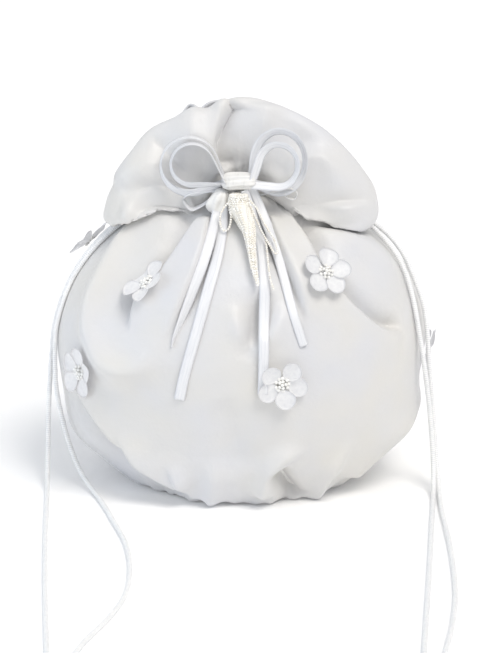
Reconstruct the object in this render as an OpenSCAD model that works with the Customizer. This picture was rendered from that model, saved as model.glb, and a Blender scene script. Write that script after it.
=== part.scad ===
// Satin drawstring bag for a wedding: a gathered body on a stiff round base, a cased
// drawcord neck, a frilled header, a ribbon bow with a bead tassel, and sewn-on flowers.
// Millimetres. Z is up, the bow faces -Y, and the origin is the centre of the base.

/* [Bag body] */
// Radius of the round base
base_r = 56; // [55:1:57]
// Half of the body's greatest width
belly_rx = 96; // [94:1:98]
// Half of the body's greatest depth
belly_ry = 78; // [76:1:80]
// Height of the widest level
belly_z = 77; // [75:1:79]
// Thickness of the gathered satin
satin_t = 1; // [0.8:0.1:1.1]
// Thickness of the lining
lining_t = 0.7; // [0.5:0.1:0.8]

/* [Neck] */
// Outer radius of the gathered neck
neck_r = 24; // [24:1:24]
// Radius of the opening through the neck
throat_r = 12; // [11:0.5:13]
// Height at which the body meets the casing
neck_z = 148; // [148:1:148]
// Height of the drawcord casing
casing_h = 12; // [12:0.5:13]
// Radius at which the drawcords run inside the casing
drawcord_ring_r = 18; // [17.5:0.5:18]

/* [Header] */
// Height of the fan's centre
fan_z = 149; // [148:1:150]
// Reach of the header straight up from the fan's centre
frill_top = 56; // [52:1:58]
// Reach of the header to each side
frill_side = 70; // [66:1:72]
// Half of the mouth's opening at the header's rim
mouth_half = 14; // [12:1:16]
// How much lower the back layer's rim stands than the front one's
back_drop = 8; // [5:1:10]
// Thickness of one doubled header layer
frill_t = 1.2; // [1:0.1:1.4]

/* [Cords and ribbon] */
// Diameter of the drawcord
cord_d = 2.5; // [2.3:0.1:2.6]
// Width of the bow's ribbon
ribbon_w = 5; // [4.6:0.1:5.2]
// Thickness of the bow's ribbon
ribbon_t = 0.5; // [0.4:0.1:0.6]
// Radius of the wrap over the bow's middle
knot_r = 4.6; // [4.4:0.1:4.6]

/* [Flowers] */
// Radius of one petal
petal_r = 5.2; // [5:0.1:5.4]
// Distance from the flower's centre to a petal's centre
petal_reach = 8.2; // [8:0.1:8.4]
// Radius of one bead
bead_r = 1.1; // [1:0.05:1.15]

/* [Hidden] */
$fn = 48;
// Bodies that move past each other keep twice this apart
split_gap = 0.15;
// Clearance between pieces that lie on each other
lay_gap = 0.3;
shoulder_power = 1.8;
hem_power = 0.7;
cover_t = 1;
stiffener_z = 1.3;
stiffener_t = 1.5;
// The lining hangs this far inside the satin
lining_gap = 1.8;
lining_base_z = 3.1;
lining_z = 3.3;
casing_z = neck_z + 0.4;
casing_top = casing_z + casing_h;
lower_cord_z = casing_z + 3.4;
upper_cord_z = casing_z + 8.6;
channel_r = cord_d / 2 + 0.35;
slot_half = 3.2;
knot_y = -34;
knot_z = 165;
knot_x = [-9, 7];
petal_t = 0.6;
hub_r = 4.2;
hub_t = 1.3;
// Beads stand in a ring round a low core
bead_count = 10;
bead_ring_r = 3.1;
bead_core_r = 2.5;
bead_core_h = 0.9;

// Flowers as [x, z, turn, side], with side -1 on the front half and 1 on the back half
flowers = [
  [-48.9, 119, 10, -1], [40.5, 122, 0, -1], [-79.5, 68, 0, -1], [20.8, 72, 60, -1],
  [-76.5, 119, 20, 1], [95.3, 66, 30, -1],
  [45, 104, 10, 1], [-12, 92, 50, 1], [58, 52, 30, 1], [-55, 48, 70, 1]
];
flower_names = [
  "upper_left", "upper_right", "lower_left", "lower_centre", "left_shoulder", "right_side",
  "back_upper_right", "back_centre", "back_lower_right", "back_lower_left"
];

// Routes of the four free strands, from the casing over the shoulder to the floor and forward
left_outer_route = [
  [-20, 1.5, 151.8], [-25, 1.5, 151.7], [-32, 0.6, 150], [-42, -1.3, 146.8], [-52, -3, 142.6],
  [-62, -4.6, 136.4], [-72, -6, 128], [-80, -7.2, 119], [-87, -8, 108.2], [-92.5, -8.5, 96],
  [-96.5, -9, 82], [-98.2, -10, 66], [-99.3, -11.5, 50], [-100, -14, 34], [-100.3, -18, 19],
  [-100.3, -26, 7.5], [-100, -38, 2.2], [-99.4, -54, 1.5], [-98, -98, 1.5], [-96, -146, 1.5],
  [-93.5, -197, 1.5], [-90.5, -250, 1.5], [-87.8, -295, 1.5], [-85.9, -330, 2.6], [-85.3, -338, 4]
];
left_inner_route = [
  [-20, -1.5, 151.8], [-25, -1.5, 151.7], [-32, -2.5, 150], [-42, -4.6, 146.6], [-52, -6.5, 142.2],
  [-62, -8.4, 136], [-72, -10.2, 127.6], [-80, -11.8, 118.4], [-87, -13, 107.6], [-92, -14, 95],
  [-95.6, -15, 81], [-96.2, -16, 66], [-95.6, -17.5, 50], [-92.5, -20, 34], [-88.5, -23, 20],
  [-83.5, -28, 9], [-78, -37, 3.2], [-72, -54, 1.6], [-64.5, -85, 1.5], [-57, -120, 1.5],
  [-54, -158, 1.5], [-56, -194, 1.5], [-64, -226, 1.5], [-74, -256, 1.5], [-80.5, -290, 1.5],
  [-82.3, -330, 2.6], [-82.2, -338, 4]
];
right_outer_route = [
  [20, 1.5, 157], [25, 1.5, 156.8], [33, 0.9, 153], [42, 0.2, 148.6], [52, -0.8, 144],
  [60, -1.9, 139.6], [68.7, -3, 134.6], [76.5, -4.6, 128.4], [83.5, -7, 119.6], [88, -10.3, 110.4],
  [91.4, -14, 102.4], [94, -18.4, 95], [95.6, -22, 85], [96.5, -23.4, 72], [97.6, -23.6, 58],
  [99, -23.6, 43], [100.2, -24.4, 28], [101.2, -27, 15], [102, -33, 5.5], [102.2, -46, 1.7],
  [102.4, -72, 1.5], [103.7, -108, 1.5], [104.2, -146, 1.5], [103.4, -190, 1.5], [99.6, -232, 1.5],
  [94.4, -268, 1.5], [89, -302, 1.5], [86.1, -330, 2.6], [85.8, -338, 4]
];
right_inner_route = [
  [20, -1.5, 157], [25, -1.5, 156.8], [33, -2.3, 152.8], [42, -3.3, 148.2], [52, -4.6, 143.4],
  [60, -6, 138.8], [68.2, -7.8, 133.4], [75, -10.2, 126.8], [81.3, -13.6, 118.4], [85.4, -17.6, 109.8],
  [88, -22, 101.6], [89.8, -25.8, 93.4], [91.4, -28, 84], [93.4, -28.8, 72], [95.4, -28.8, 58],
  [97.2, -28.6, 43], [98.6, -29, 28], [99.4, -31.6, 15], [99.4, -38, 5.5], [98.8, -51, 1.7],
  [96.8, -84, 1.5], [93, -146, 1.5], [89.7, -197, 1.5], [85.8, -255, 1.5], [83.4, -298, 1.5],
  [82.8, -330, 2.6], [82.7, -338, 4]
];
knot_left_at = [-83.8, -340, 4.2];
knot_right_at = [84.2, -340, 4.2];
cord_knot_r = 4;

// Ribbon tails as [x, z, lift] stations down the front of the bag; the long right one
// passes over a petal
tails = [
  [[-13, 146, 0.3], [-14.5, 141, 0.3], [-18, 132, 0.3], [-23, 119, 0.3], [-29.5, 104, 0.3],
   [-34.3, 91, 0.3]],
  [[-7, 146, 0.3], [-8.5, 141, 0.3], [-12, 131, 0.3], [-17, 115, 0.3], [-23.5, 94, 0.3],
   [-28.5, 77, 0.3], [-30.7, 62, 0.3]],
  [[5, 146, 0.3], [8, 141, 0.3], [11, 133, 0.3], [12, 118, 0.3], [11.5, 100, 0.5],
   [11.5, 84, 2], [11, 68, 2.2]],
  [[11, 146, 0.3], [14.5, 141, 0.3], [18.5, 132, 0.3], [22.5, 119, 0.3], [27, 104, 0.3],
   [31.7, 90, 0.3]]
];
tail_names = ["left_short", "left_long", "right_long", "right_short"];

// Tassel bundle as [x, y, z, radius]
tassel_path = [
  [-1.2, -38.5, 153.6, 5.2], [-0.4, -39.8, 152.4, 5.8], [0.8, -41.8, 150.8, 5.9], [2.2, -46, 147.9, 5.2],
  [4, -50.4, 143.5, 4.1], [4.9, -55.5, 138, 3.1], [5.7, -60, 132.4, 2.4], [6.9, -65, 125.6, 2],
  [8.4, -67.4, 120.4, 1.3]
];
left_loop_path = [
  [-5.8, -40.5, 156.2], [-8.7, -41.5, 153.3], [-10.4, -42.5, 149.5], [-10.3, -44, 145.4],
  [-8.7, -46, 142.9], [-6.6, -46, 143.2], [-5.3, -44.5, 146]
];
right_loop_path = [
  [4.2, -40.8, 157.6], [8.2, -42.6, 153.2], [10.9, -44, 147.8], [13.9, -47, 143.2], [17, -51, 138.8],
  [18.5, -55, 134.2], [16.9, -55.6, 133.8], [13.9, -52.5, 138], [10.9, -48.5, 142.2], [8.8, -46, 146.2]
];

strand_names = ["cord_left_outer", "cord_left_inner", "cord_right_outer", "cord_right_inner"];
NODES = concat(
  ["outer_front_panel", "outer_back_panel", "lining_wall", "lining_base", "base_cover"],
  ["base_stiffener", "casing_front", "casing_back"],
  ["drawcord_lower_front", "drawcord_lower_back", "drawcord_upper_front", "drawcord_upper_back"],
  ["frill_front", "frill_back"],
  ["bow_loop_left_outer", "bow_loop_left_inner", "bow_loop_right_outer", "bow_loop_right_inner"],
  ["bow_wrap"],
  [for (name = tail_names) str("ribbon_tail_", name)],
  ["tassel_cap", "tassel_strands", "tassel_loop_left", "tassel_loop_right"],
  [for (name = flower_names) str("petals_", name)],
  [for (name = flower_names) str("beads_", name)],
  strand_names,
  ["knot_left", "knot_right"]
);
node = "all";

// How far out the body has swelled at a height: 0 at the base or neck, 1 at the belly
function swell(z) =
  z < belly_z ? sin(90 * pow(max(z, 0) / belly_z, hem_power))
  : pow(max(0, 1 - pow(min(1, (z - belly_z) / (neck_z - belly_z)), shoulder_power)),
        1 / shoulder_power);
function end_r(z) = z < belly_z ? base_r : neck_r;
function half_width(z) = end_r(z) + (belly_rx - end_r(z)) * swell(z);
function half_depth(z) = end_r(z) + (belly_ry - end_r(z)) * swell(z);
function unit(v) = v / norm(v);
function mix(a, b, t) = a + (b - a) * t;

// Heights of the body's rings, close together at the shoulder
function ring_z(low, rows) = [
  for (i = [0:rows - 1])
    let(u = i / (rows - 1))
    u < 0.45
      ? mix(low, belly_z, pow(u / 0.45, 1.6))
      : mix(belly_z, neck_z, pow(sin(90 * (u - 0.45) / 0.55), 1.1))
];
// Slope of the half width with height, for the surface's normal
function flare(z) =
  let(step = 0.05, lower = max(0.2, min(z, neck_z - 0.2) - step))
  (half_width(lower + 2 * step) - half_width(lower)) / (2 * step);
// A point of the front half at an angle and height, moved inwards by a distance
function wall_point(angle, z, inwards, upright) =
  let(slope = flare(z),
      out = upright ? 1 : 1 / sqrt(1 + slope * slope),
      up = upright ? 0 : -slope * out,
      rx = half_width(z) - inwards * out,
      ry = half_depth(z) - inwards * out)
  [rx * cos(angle), -ry * sin(angle) - split_gap, z - inwards * up];

// A point on the front of the bag at x and z, lifted off it by a distance
function front_y(x, z) = -half_depth(z) * sqrt(max(0, 1 - pow(x / half_width(z), 2)));
function front_normal(x, z) =
  let(step = 0.5,
      across = [2 * step, front_y(x + step, z) - front_y(x - step, z), 0],
      upward = [0, front_y(x, z + step) - front_y(x, z - step), 2 * step])
  unit(cross(across, upward));
function on_front(x, z, lift) = [x, front_y(x, z), z] + lift * front_normal(x, z);

function catmull(a, b, c, d, t) =
  0.5 * ((2 * b) + (c - a) * t + (2 * a - 5 * b + 4 * c - d) * t * t
         + (3 * b - a - 3 * c + d) * t * t * t);
// A smooth curve through the points, with the same number of steps between each two
function smooth(points, steps) = concat(
  [for (i = [0:len(points) - 2], k = [0:steps - 1])
    catmull(points[max(i - 1, 0)], points[i], points[i + 1],
            points[min(i + 2, len(points) - 1)], k / steps)],
  [points[len(points) - 1]]
);

// A closed solid between two grids of points with rows of equal length; the outer grid's
// rows run right to left and upwards, seen from outside
module cloth_between(outer, inner, closed = false) {
  rows = len(outer);
  cols = len(outer[0]);
  last = closed ? cols - 1 : cols - 2;
  points = concat([for (row = outer) each row], [for (row = inner) each row]);
  function o(i, j) = i * cols + j % cols;
  function n(i, j) = rows * cols + i * cols + j % cols;
  function quad(a, b, c, d) = [[a, b, c], [a, c, d]];
  faces = concat(
    [for (i = [0:rows - 2], j = [0:last])
      each quad(o(i, j), o(i, j + 1), o(i + 1, j + 1), o(i + 1, j))],
    [for (i = [0:rows - 2], j = [0:last])
      each quad(n(i, j), n(i + 1, j), n(i + 1, j + 1), n(i, j + 1))],
    [for (j = [0:last]) each quad(o(0, j), n(0, j), n(0, j + 1), o(0, j + 1))],
    [for (j = [0:last])
      each quad(o(rows - 1, j), o(rows - 1, j + 1), n(rows - 1, j + 1), n(rows - 1, j))],
    closed ? [] : [for (i = [0:rows - 2]) each quad(o(i, 0), o(i + 1, 0), n(i + 1, 0), n(i, 0))],
    closed ? [] : [for (i = [0:rows - 2])
      each quad(o(i, cols - 1), n(i, cols - 1), n(i + 1, cols - 1), o(i + 1, cols - 1))]
  );
  polyhedron(points, faces);
}

// A tube through the points, with one radius at each of them
module tube(points, radii, sides) {
  n = len(points);
  function along(i) = unit(points[min(i + 1, n - 1)] - points[max(i - 1, 0)]);
  function side_of(d, before) = unit(before - (before * d) * d);
  start_side = unit(cross(along(0), abs(along(0)[2]) < 0.9 ? [0, 0, 1] : [0, 1, 0]));
  // Each ring's sideways direction is carried on from the last one, so the tube never twists
  frames = [for (i = 0, s = start_side; i < n; i = i + 1, s = i < n ? side_of(along(i), s) : s) s];
  rings = [for (i = [0:n - 1])
    let(d = along(i), s = side_of(d, frames[i]), t = cross(d, s))
    [for (k = [0:sides - 1])
      points[i] + radii[i] * (cos(360 * k / sides) * s + sin(360 * k / sides) * t)]];
  faces = concat(
    [[for (k = [0:sides - 1]) k]],
    [for (i = [0:n - 2], k = [0:sides - 1])
      let(a = i * sides + k, b = i * sides + (k + 1) % sides)
      each [[a, a + sides, b], [b, a + sides, b + sides]]],
    [[for (k = [0:sides - 1]) n * sides - 1 - k]]
  );
  polyhedron([for (ring = rings) each ring], faces);
}

module half(front) {
  reach = 2 * neck_r;
  intersection() {
    children();
    translate([-reach, front ? -2 * reach - split_gap : split_gap, 0])
      cube([2 * reach, 2 * reach, 2 * neck_z]);
  }
}

module outer_front_panel() {
  cols = 25;
  heights = ring_z(0, 19);
  function grid(inwards) = [for (z = heights) [for (j = [0:cols - 1])
    wall_point(180 * j / (cols - 1), z, inwards, z == 0)]];
  color("white") cloth_between(grid(0), grid(satin_t));
}

module outer_back_panel() {
  rotate([0, 0, 180]) outer_front_panel();
}

module lining_wall() {
  cols = 36;
  outside = satin_t + lining_gap;
  heights = ring_z(lining_z, 13);
  function grid(inwards) = [for (z = heights) [for (j = [0:cols - 1])
    let(p = wall_point(360 * j / cols, z, inwards, z == lining_z))
    [p[0], p[1] + split_gap, p[2]]]];
  color("ivory") cloth_between(grid(outside), grid(outside + lining_t), closed = true);
}

module lining_base() {
  color("ivory") translate([0, 0, lining_base_z]) cylinder(h = lining_t, r = base_r - lining_gap - 0.6);
}

module base_cover() {
  color("white") cylinder(h = cover_t, r = base_r - satin_t - 0.2);
}

module base_stiffener() {
  color("wheat") translate([0, 0, stiffener_z]) cylinder(h = stiffener_t, r = base_r - 3);
}

// The gathered neck with its two round channels and a slot at each side for the cords
module casing_ring() {
  difference() {
    rotate_extrude() difference() {
      translate([throat_r, casing_z]) square([neck_r - throat_r, casing_h]);
      for (z = [lower_cord_z, upper_cord_z])
        translate([drawcord_ring_r, z]) circle(channel_r);
    }
    translate([-2 * neck_r, -slot_half, 0])
      cube([2 * neck_r - drawcord_ring_r + channel_r, 2 * slot_half, lower_cord_z + 1.8]);
    translate([drawcord_ring_r - channel_r, -slot_half, 0])
      cube([neck_r, 2 * slot_half, upper_cord_z + 1.8]);
  }
}

module casing_front() {
  color("white") half(true) casing_ring();
}

module casing_back() {
  color("white") half(false) casing_ring();
}

module drawcord_ring(z, front) {
  color("ivory") half(front) rotate_extrude()
    translate([drawcord_ring_r, z]) circle(cord_d / 2);
}

// One header layer: a fan from the neck's half circle out to the scalloped rim
fan_from = -8;
fan_to = 192;
root_r = 16;
root_z = casing_top + frill_t + 0.5;
function fan_angle(t) = mix(fan_from, fan_to, t / 180);
function rim_reach(a) = mix(frill_top, frill_side, pow(abs(cos(a)), 1.6));
function frill_point(s, t, drop) =
  let(a = fan_angle(t),
      root = [root_r * cos(t), -root_r * sin(t) - split_gap, root_z],
      rim = [rim_reach(a) * cos(a), -mouth_half * pow(sin(t), 0.8) - split_gap,
             fan_z + rim_reach(a) * sin(a) - drop * sin(t)],
      middle = (root + rim) / 2
        + [0, -10 * sin(t) - 22 * pow(sin(2 * t), 2), 18 * pow(cos(t), 2)])
  (1 - s) * (1 - s) * root + 2 * s * (1 - s) * middle + s * s * rim;
function frill_normal(s, t, drop) =
  let(ds = 0.02, dt = 2, s0 = min(s, 1 - ds), t0 = min(max(t, dt), 180 - dt))
  unit(cross(frill_point(s0 + ds, t0, drop) - frill_point(s0, t0, drop),
             frill_point(s0, t0 + dt, drop) - frill_point(s0, t0 - dt, drop)));

module frill_layer(drop) {
  cols = 33;
  rows = 9;
  function grid(lift) = [for (i = [0:rows - 1]) [for (j = [0:cols - 1])
    let(s = i / (rows - 1), t = 180 * j / (cols - 1),
        p = frill_point(s, t, drop) + lift * frill_normal(s, t, drop))
    [p[0], min(p[1], -split_gap), p[2]]]];
  color("white") cloth_between(grid(frill_t), grid(0));
}

module frill_front() {
  frill_layer(0);
}

module frill_back() {
  mirror([0, 1, 0]) frill_layer(back_drop);
}

// A ribbon loop that stands on its edge: a teardrop ring with its point at the wrap
module bow_loop(centre, r, tip, nearer) {
  function outline(radius, point) =
    let(out = point - centre,
        spread = acos(radius / norm(out)),
        aim = atan2(out[1], out[0]))
    concat([point], [for (k = [0:24])
      let(a = aim + spread + (360 - 2 * spread) * k / 24)
      centre + radius * [cos(a), sin(a)]]);
  inner_r = r - ribbon_t;
  inner_tip = centre + (tip - centre) * inner_r / r;
  depth = ribbon_w - 0.4;
  color("white") translate([0, nearer ? knot_y - lay_gap / 2 : knot_y + depth + lay_gap / 2, 0])
    rotate([90, 0, 0]) linear_extrude(depth) difference() {
      polygon(outline(r, tip));
      polygon(outline(inner_r, inner_tip));
    }
}

module bow_loop_left_outer() {
  bow_loop([-26, 173], 14.8, [knot_x[0] - 0.2, knot_z], false);
}

module bow_loop_left_inner() {
  bow_loop([-24.8, 175.3], 11, [knot_x[0] - 0.2, knot_z], true);
}

module bow_loop_right_outer() {
  bow_loop([20.8, 175.2], 13.6, [knot_x[1] + 0.2, knot_z], false);
}

module bow_loop_right_inner() {
  bow_loop([18.8, 173.4], 10.6, [knot_x[1] + 0.2, knot_z], true);
}

// The wrap over the bow's middle, with the stitched tab that holds it to the casing
module bow_wrap() {
  tab_front = knot_y + 2;
  tab_z = casing_top - 4;
  color("white") {
    translate([knot_x[0], knot_y, knot_z]) rotate([0, 90, 0])
      cylinder(h = knot_x[1] - knot_x[0], r = knot_r);
    translate([-3, tab_front, tab_z]) cube([6, -neck_r - tab_front - 0.05, knot_z - tab_z]);
  }
}

module ribbon_tail(stations) {
  path = smooth(stations, 3);
  rows = len(path);
  half_w = ribbon_w / 2;
  function grid(thickness) = [for (i = [0:rows - 1])
    let(p = path[rows - 1 - i])
    [for (side = [1, 0, -1]) on_front(p[0] + side * half_w, p[1], p[2] + thickness)]];
  color("white") cloth_between(grid(ribbon_t), grid(0));
}

module tassel_cap() {
  start = tassel_path[0];
  rim = start[3] + 0.2;
  color("cornsilk") translate([start[0], start[1], start[2]]) {
    cylinder(h = 0.8, r = rim);
    translate([0, 0, 0.8]) cylinder(h = 5, r1 = rim, r2 = rim - 1.2);
  }
}

module tassel_strands() {
  path = smooth(tassel_path, 2);
  color("cornsilk") tube([for (p = path) [p[0], p[1], p[2]]], [for (p = path) p[3]], 12);
}

module bead_loop(path) {
  curve = smooth(path, 2);
  color("cornsilk") tube(curve, [for (p = curve) 0.8], 8);
}

// Puts its children on the bag's surface at a flower's place, with +Z outwards
module at_flower(i) {
  place = flowers[i];
  facing = front_normal(place[0], place[1]);
  here = on_front(place[0], place[1], lay_gap);
  side = -place[3];
  translate([here[0], side * here[1], here[2]])
    rotate([0, acos(facing[2]), atan2(side * facing[1], facing[0])])
      rotate([0, 0, place[2]]) children();
}

module petals(i) {
  color("white") at_flower(i) {
    linear_extrude(petal_t) {
      circle(hub_r);
      for (k = [0:4]) rotate(72 * k) translate([petal_reach, 0]) circle(petal_r);
    }
    translate([0, 0, petal_t / 2]) cylinder(h = hub_t - petal_t / 2, r = hub_r);
  }
}

module beads(i) {
  color("cornsilk") at_flower(i) translate([0, 0, hub_t + bead_r]) {
    translate([0, 0, -bead_r / 2]) cylinder(h = bead_core_h + bead_r / 2, r = bead_core_r);
    translate([0, 0, bead_core_h]) sphere(bead_r);
    for (k = [0:bead_count - 1])
      rotate([0, 0, 360 * k / bead_count]) translate([bead_ring_r, 0, 0]) sphere(bead_r);
  }
}

module cord_strand(route) {
  curve = smooth(route, 2);
  color("ivory") tube(curve, [for (p = curve) cord_d / 2], 8);
}

// The knot that joins a pair of strands, with the two cut ends beyond it
module cord_knot(at) {
  color("ivory") translate(at) {
    sphere(cord_knot_r);
    for (side = [-1, 1])
      translate([side * 1.8, -2, -cord_knot_r + cord_d / 2]) rotate([90, 0, side * 14])
        cylinder(h = 12, r = cord_d / 2);
  }
}

function shown(name) = node == "all" || node == name;

if (shown("outer_front_panel")) outer_front_panel();
if (shown("outer_back_panel")) outer_back_panel();
if (shown("lining_wall")) lining_wall();
if (shown("lining_base")) lining_base();
if (shown("base_cover")) base_cover();
if (shown("base_stiffener")) base_stiffener();
if (shown("casing_front")) casing_front();
if (shown("casing_back")) casing_back();
if (shown("drawcord_lower_front")) drawcord_ring(lower_cord_z, true);
if (shown("drawcord_lower_back")) drawcord_ring(lower_cord_z, false);
if (shown("drawcord_upper_front")) drawcord_ring(upper_cord_z, true);
if (shown("drawcord_upper_back")) drawcord_ring(upper_cord_z, false);
if (shown("frill_front")) frill_front();
if (shown("frill_back")) frill_back();
if (shown("bow_loop_left_outer")) bow_loop_left_outer();
if (shown("bow_loop_left_inner")) bow_loop_left_inner();
if (shown("bow_loop_right_outer")) bow_loop_right_outer();
if (shown("bow_loop_right_inner")) bow_loop_right_inner();
if (shown("bow_wrap")) bow_wrap();
for (i = [0:3])
  if (shown(str("ribbon_tail_", tail_names[i]))) ribbon_tail(tails[i]);
if (shown("tassel_cap")) tassel_cap();
if (shown("tassel_strands")) tassel_strands();
if (shown("tassel_loop_left")) bead_loop(left_loop_path);
if (shown("tassel_loop_right")) bead_loop(right_loop_path);
for (i = [0:len(flowers) - 1]) {
  if (shown(str("petals_", flower_names[i]))) petals(i);
  if (shown(str("beads_", flower_names[i]))) beads(i);
}
if (shown("cord_left_outer")) cord_strand(left_outer_route);
if (shown("cord_left_inner")) cord_strand(left_inner_route);
if (shown("cord_right_outer")) cord_strand(right_outer_route);
if (shown("cord_right_inner")) cord_strand(right_inner_route);
if (shown("knot_left")) cord_knot(knot_left_at);
if (shown("knot_right")) cord_knot(knot_right_at);
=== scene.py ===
import math

import bpy
import numpy as np
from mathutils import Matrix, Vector, noise
from mathutils.bvhtree import BVHTree


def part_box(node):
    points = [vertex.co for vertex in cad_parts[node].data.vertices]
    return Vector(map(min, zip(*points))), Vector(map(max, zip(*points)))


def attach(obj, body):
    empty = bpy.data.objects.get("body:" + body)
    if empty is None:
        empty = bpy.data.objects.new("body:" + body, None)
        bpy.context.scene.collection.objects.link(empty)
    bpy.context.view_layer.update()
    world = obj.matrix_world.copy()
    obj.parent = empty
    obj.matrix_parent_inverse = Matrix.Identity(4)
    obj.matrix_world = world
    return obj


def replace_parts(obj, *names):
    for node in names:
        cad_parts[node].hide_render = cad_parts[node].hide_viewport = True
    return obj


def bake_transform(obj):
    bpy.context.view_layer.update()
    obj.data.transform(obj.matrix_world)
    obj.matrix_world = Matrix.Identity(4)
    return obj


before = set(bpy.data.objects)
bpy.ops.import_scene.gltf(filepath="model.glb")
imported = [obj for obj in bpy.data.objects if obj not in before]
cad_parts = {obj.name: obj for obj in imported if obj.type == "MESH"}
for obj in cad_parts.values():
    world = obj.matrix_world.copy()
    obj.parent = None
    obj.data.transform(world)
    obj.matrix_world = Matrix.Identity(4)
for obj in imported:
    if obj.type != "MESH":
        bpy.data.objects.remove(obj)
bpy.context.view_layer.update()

# Lengths below are in millimetres and become metres when a mesh or curve is made.
MM = 0.001
RNG = np.random.default_rng(7)


# ---------------------------------------------------------------- camera
CAMERA_TARGET, CAMERA_DISTANCE, CAMERA_RISE, CAMERA_LENS = (2.1, 0, 78.1), 2.1, 17, 222.6


def make_camera():
    elevation = math.radians(CAMERA_RISE)
    cam = bpy.data.objects.new("camera", bpy.data.cameras.new("camera"))
    bpy.context.scene.collection.objects.link(cam)
    back = Vector((0, -math.cos(elevation), math.sin(elevation)))
    cam.location = Vector(CAMERA_TARGET) * MM + back * CAMERA_DISTANCE
    cam.rotation_euler = (-back).to_track_quat("-Z", "Y").to_euler()
    cam.data.sensor_width = 36
    cam.data.lens = CAMERA_LENS
    cam.data.clip_end = 50
    bpy.context.scene.camera = cam


make_camera()


# ---------------------------------------------------------------- sizes taken from the frame
def box_mm(node):
    lo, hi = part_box(node)
    return np.array(lo) / MM, np.array(hi) / MM


FRONT_LO, FRONT_HI = box_mm("outer_front_panel")
SPLIT = -FRONT_HI[1]  # half the gap between the two panels at the side seams
BELLY_RX = FRONT_HI[0]
BELLY_RY = -FRONT_LO[1] - SPLIT
NECK_Z = FRONT_HI[2]
BASE_R = box_mm("base_cover")[1][0] + 1.2  # the cloth's hem, just outside the base
NECK_R = box_mm("casing_front")[1][0]
CASING_LO, CASING_HI = box_mm("casing_front")
WRAP_LO, WRAP_HI = box_mm("bow_wrap")
BELLY_Z = 77  # height of the widest part
SHOULDER_POWER, HEM_POWER = 1.8, 0.7  # how full the outline is above and below it


# ---------------------------------------------------------------- shape functions
def swell(z):
    z = np.asarray(z, float)
    low = np.sin(0.5 * np.pi * (np.clip(z, 0, None) / BELLY_Z) ** HEM_POWER)
    up = np.clip((z - BELLY_Z) / (NECK_Z - BELLY_Z), 0, 1)
    high = np.clip(1 - up**SHOULDER_POWER, 0, None) ** (1 / SHOULDER_POWER)
    return np.where(z < BELLY_Z, low, high)


def half_width(z):
    end = np.where(np.asarray(z) < BELLY_Z, BASE_R, NECK_R)
    return end + (BELLY_RX - end) * swell(z)


def half_depth(z):
    end = np.where(np.asarray(z) < BELLY_Z, BASE_R, NECK_R)
    return end + (BELLY_RY - end) * swell(z)


def front_y(x, z):
    return -half_depth(z) * np.sqrt(np.clip(1 - (np.asarray(x) / half_width(z)) ** 2, 0, None))


def smoothstep(x, lo=0.0, hi=1.0):
    t = np.clip((np.asarray(x, float) - lo) / (hi - lo), 0, 1)
    return t * t * (3 - 2 * t)


def catmull(points, steps):
    """A smooth curve through the points, with the same number of steps between each two."""
    p = np.asarray(points, float)
    out = []
    for i in range(len(p) - 1):
        a, b, c, d = p[max(i - 1, 0)], p[i], p[i + 1], p[min(i + 2, len(p) - 1)]
        for k in range(steps):
            t = k / steps
            bend, twist = 2 * a - 5 * b + 4 * c - d, 3 * b - a - 3 * c + d
            out.append(0.5 * (2 * b + (c - a) * t + bend * t * t + twist * t**3))
    out.append(p[-1])
    return np.array(out)


def spline_at(xs, ys, x):
    """Smooth interpolation through stations (xs, ys) at x, with a column of ys for each axis."""
    xs, ys, x = np.asarray(xs, float), np.asarray(ys, float), np.asarray(x, float)
    slope = np.gradient(ys, xs, axis=0)
    i = np.clip(np.searchsorted(xs, x) - 1, 0, len(xs) - 2)
    h = (xs[i + 1] - xs[i])[..., None]
    t = ((x - xs[i])[..., None]) / h
    return (
        ys[i] * (1 + 2 * t) * (1 - t) ** 2
        + slope[i] * h * t * (1 - t) ** 2
        + ys[i + 1] * t * t * (3 - 2 * t)
        + slope[i + 1] * h * t * t * (t - 1)
    )


def arc_along(path):
    """Distance along a path at each of its points."""
    return np.concatenate([[0], np.cumsum(np.linalg.norm(np.diff(path, axis=0), axis=1))])


def resample(points, count):
    """The same line with evenly spaced points."""
    p = np.asarray(points, float)
    s = arc_along(p)
    u = np.linspace(0, s[-1], count)
    return np.stack([np.interp(u, s, p[:, k]) for k in range(p.shape[1])], axis=1)


def unit(v):
    v = np.asarray(v, float)
    return v / np.maximum(np.linalg.norm(v, axis=-1, keepdims=True), 1e-12)


def grid_normals(g, wrap=False):
    """Normals of a grid (rows, columns, 3): rows run up, and columns so that they point outwards."""
    if wrap:
        across = np.roll(g, -1, axis=1) - np.roll(g, 1, axis=1)
    else:
        across = np.gradient(g, axis=1)
    return unit(np.cross(across, np.gradient(g, axis=0)))


def line_field(points, line):
    """For each point: its distance to the line, how far along the line that is (0 to 1), the
    line's direction there and the nearest place on it."""
    n = len(points)
    best = np.full(n, 1e9)
    at, way, near = np.zeros(n), np.zeros((n, points.shape[1])), np.zeros((n, points.shape[1]))
    for i in range(len(line) - 1):
        a, d = line[i], line[i + 1] - line[i]
        t = np.clip(((points - a) @ d) / max(d @ d, 1e-12), 0, 1)
        q = a + t[:, None] * d
        gap = np.linalg.norm(points - q, axis=1)
        m = gap < best
        best[m], near[m] = gap[m], q[m]
        at[m], way[m] = (i + t[m]) / (len(line) - 1), d / max(np.linalg.norm(d), 1e-12)
    return best, at, way, near


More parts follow.
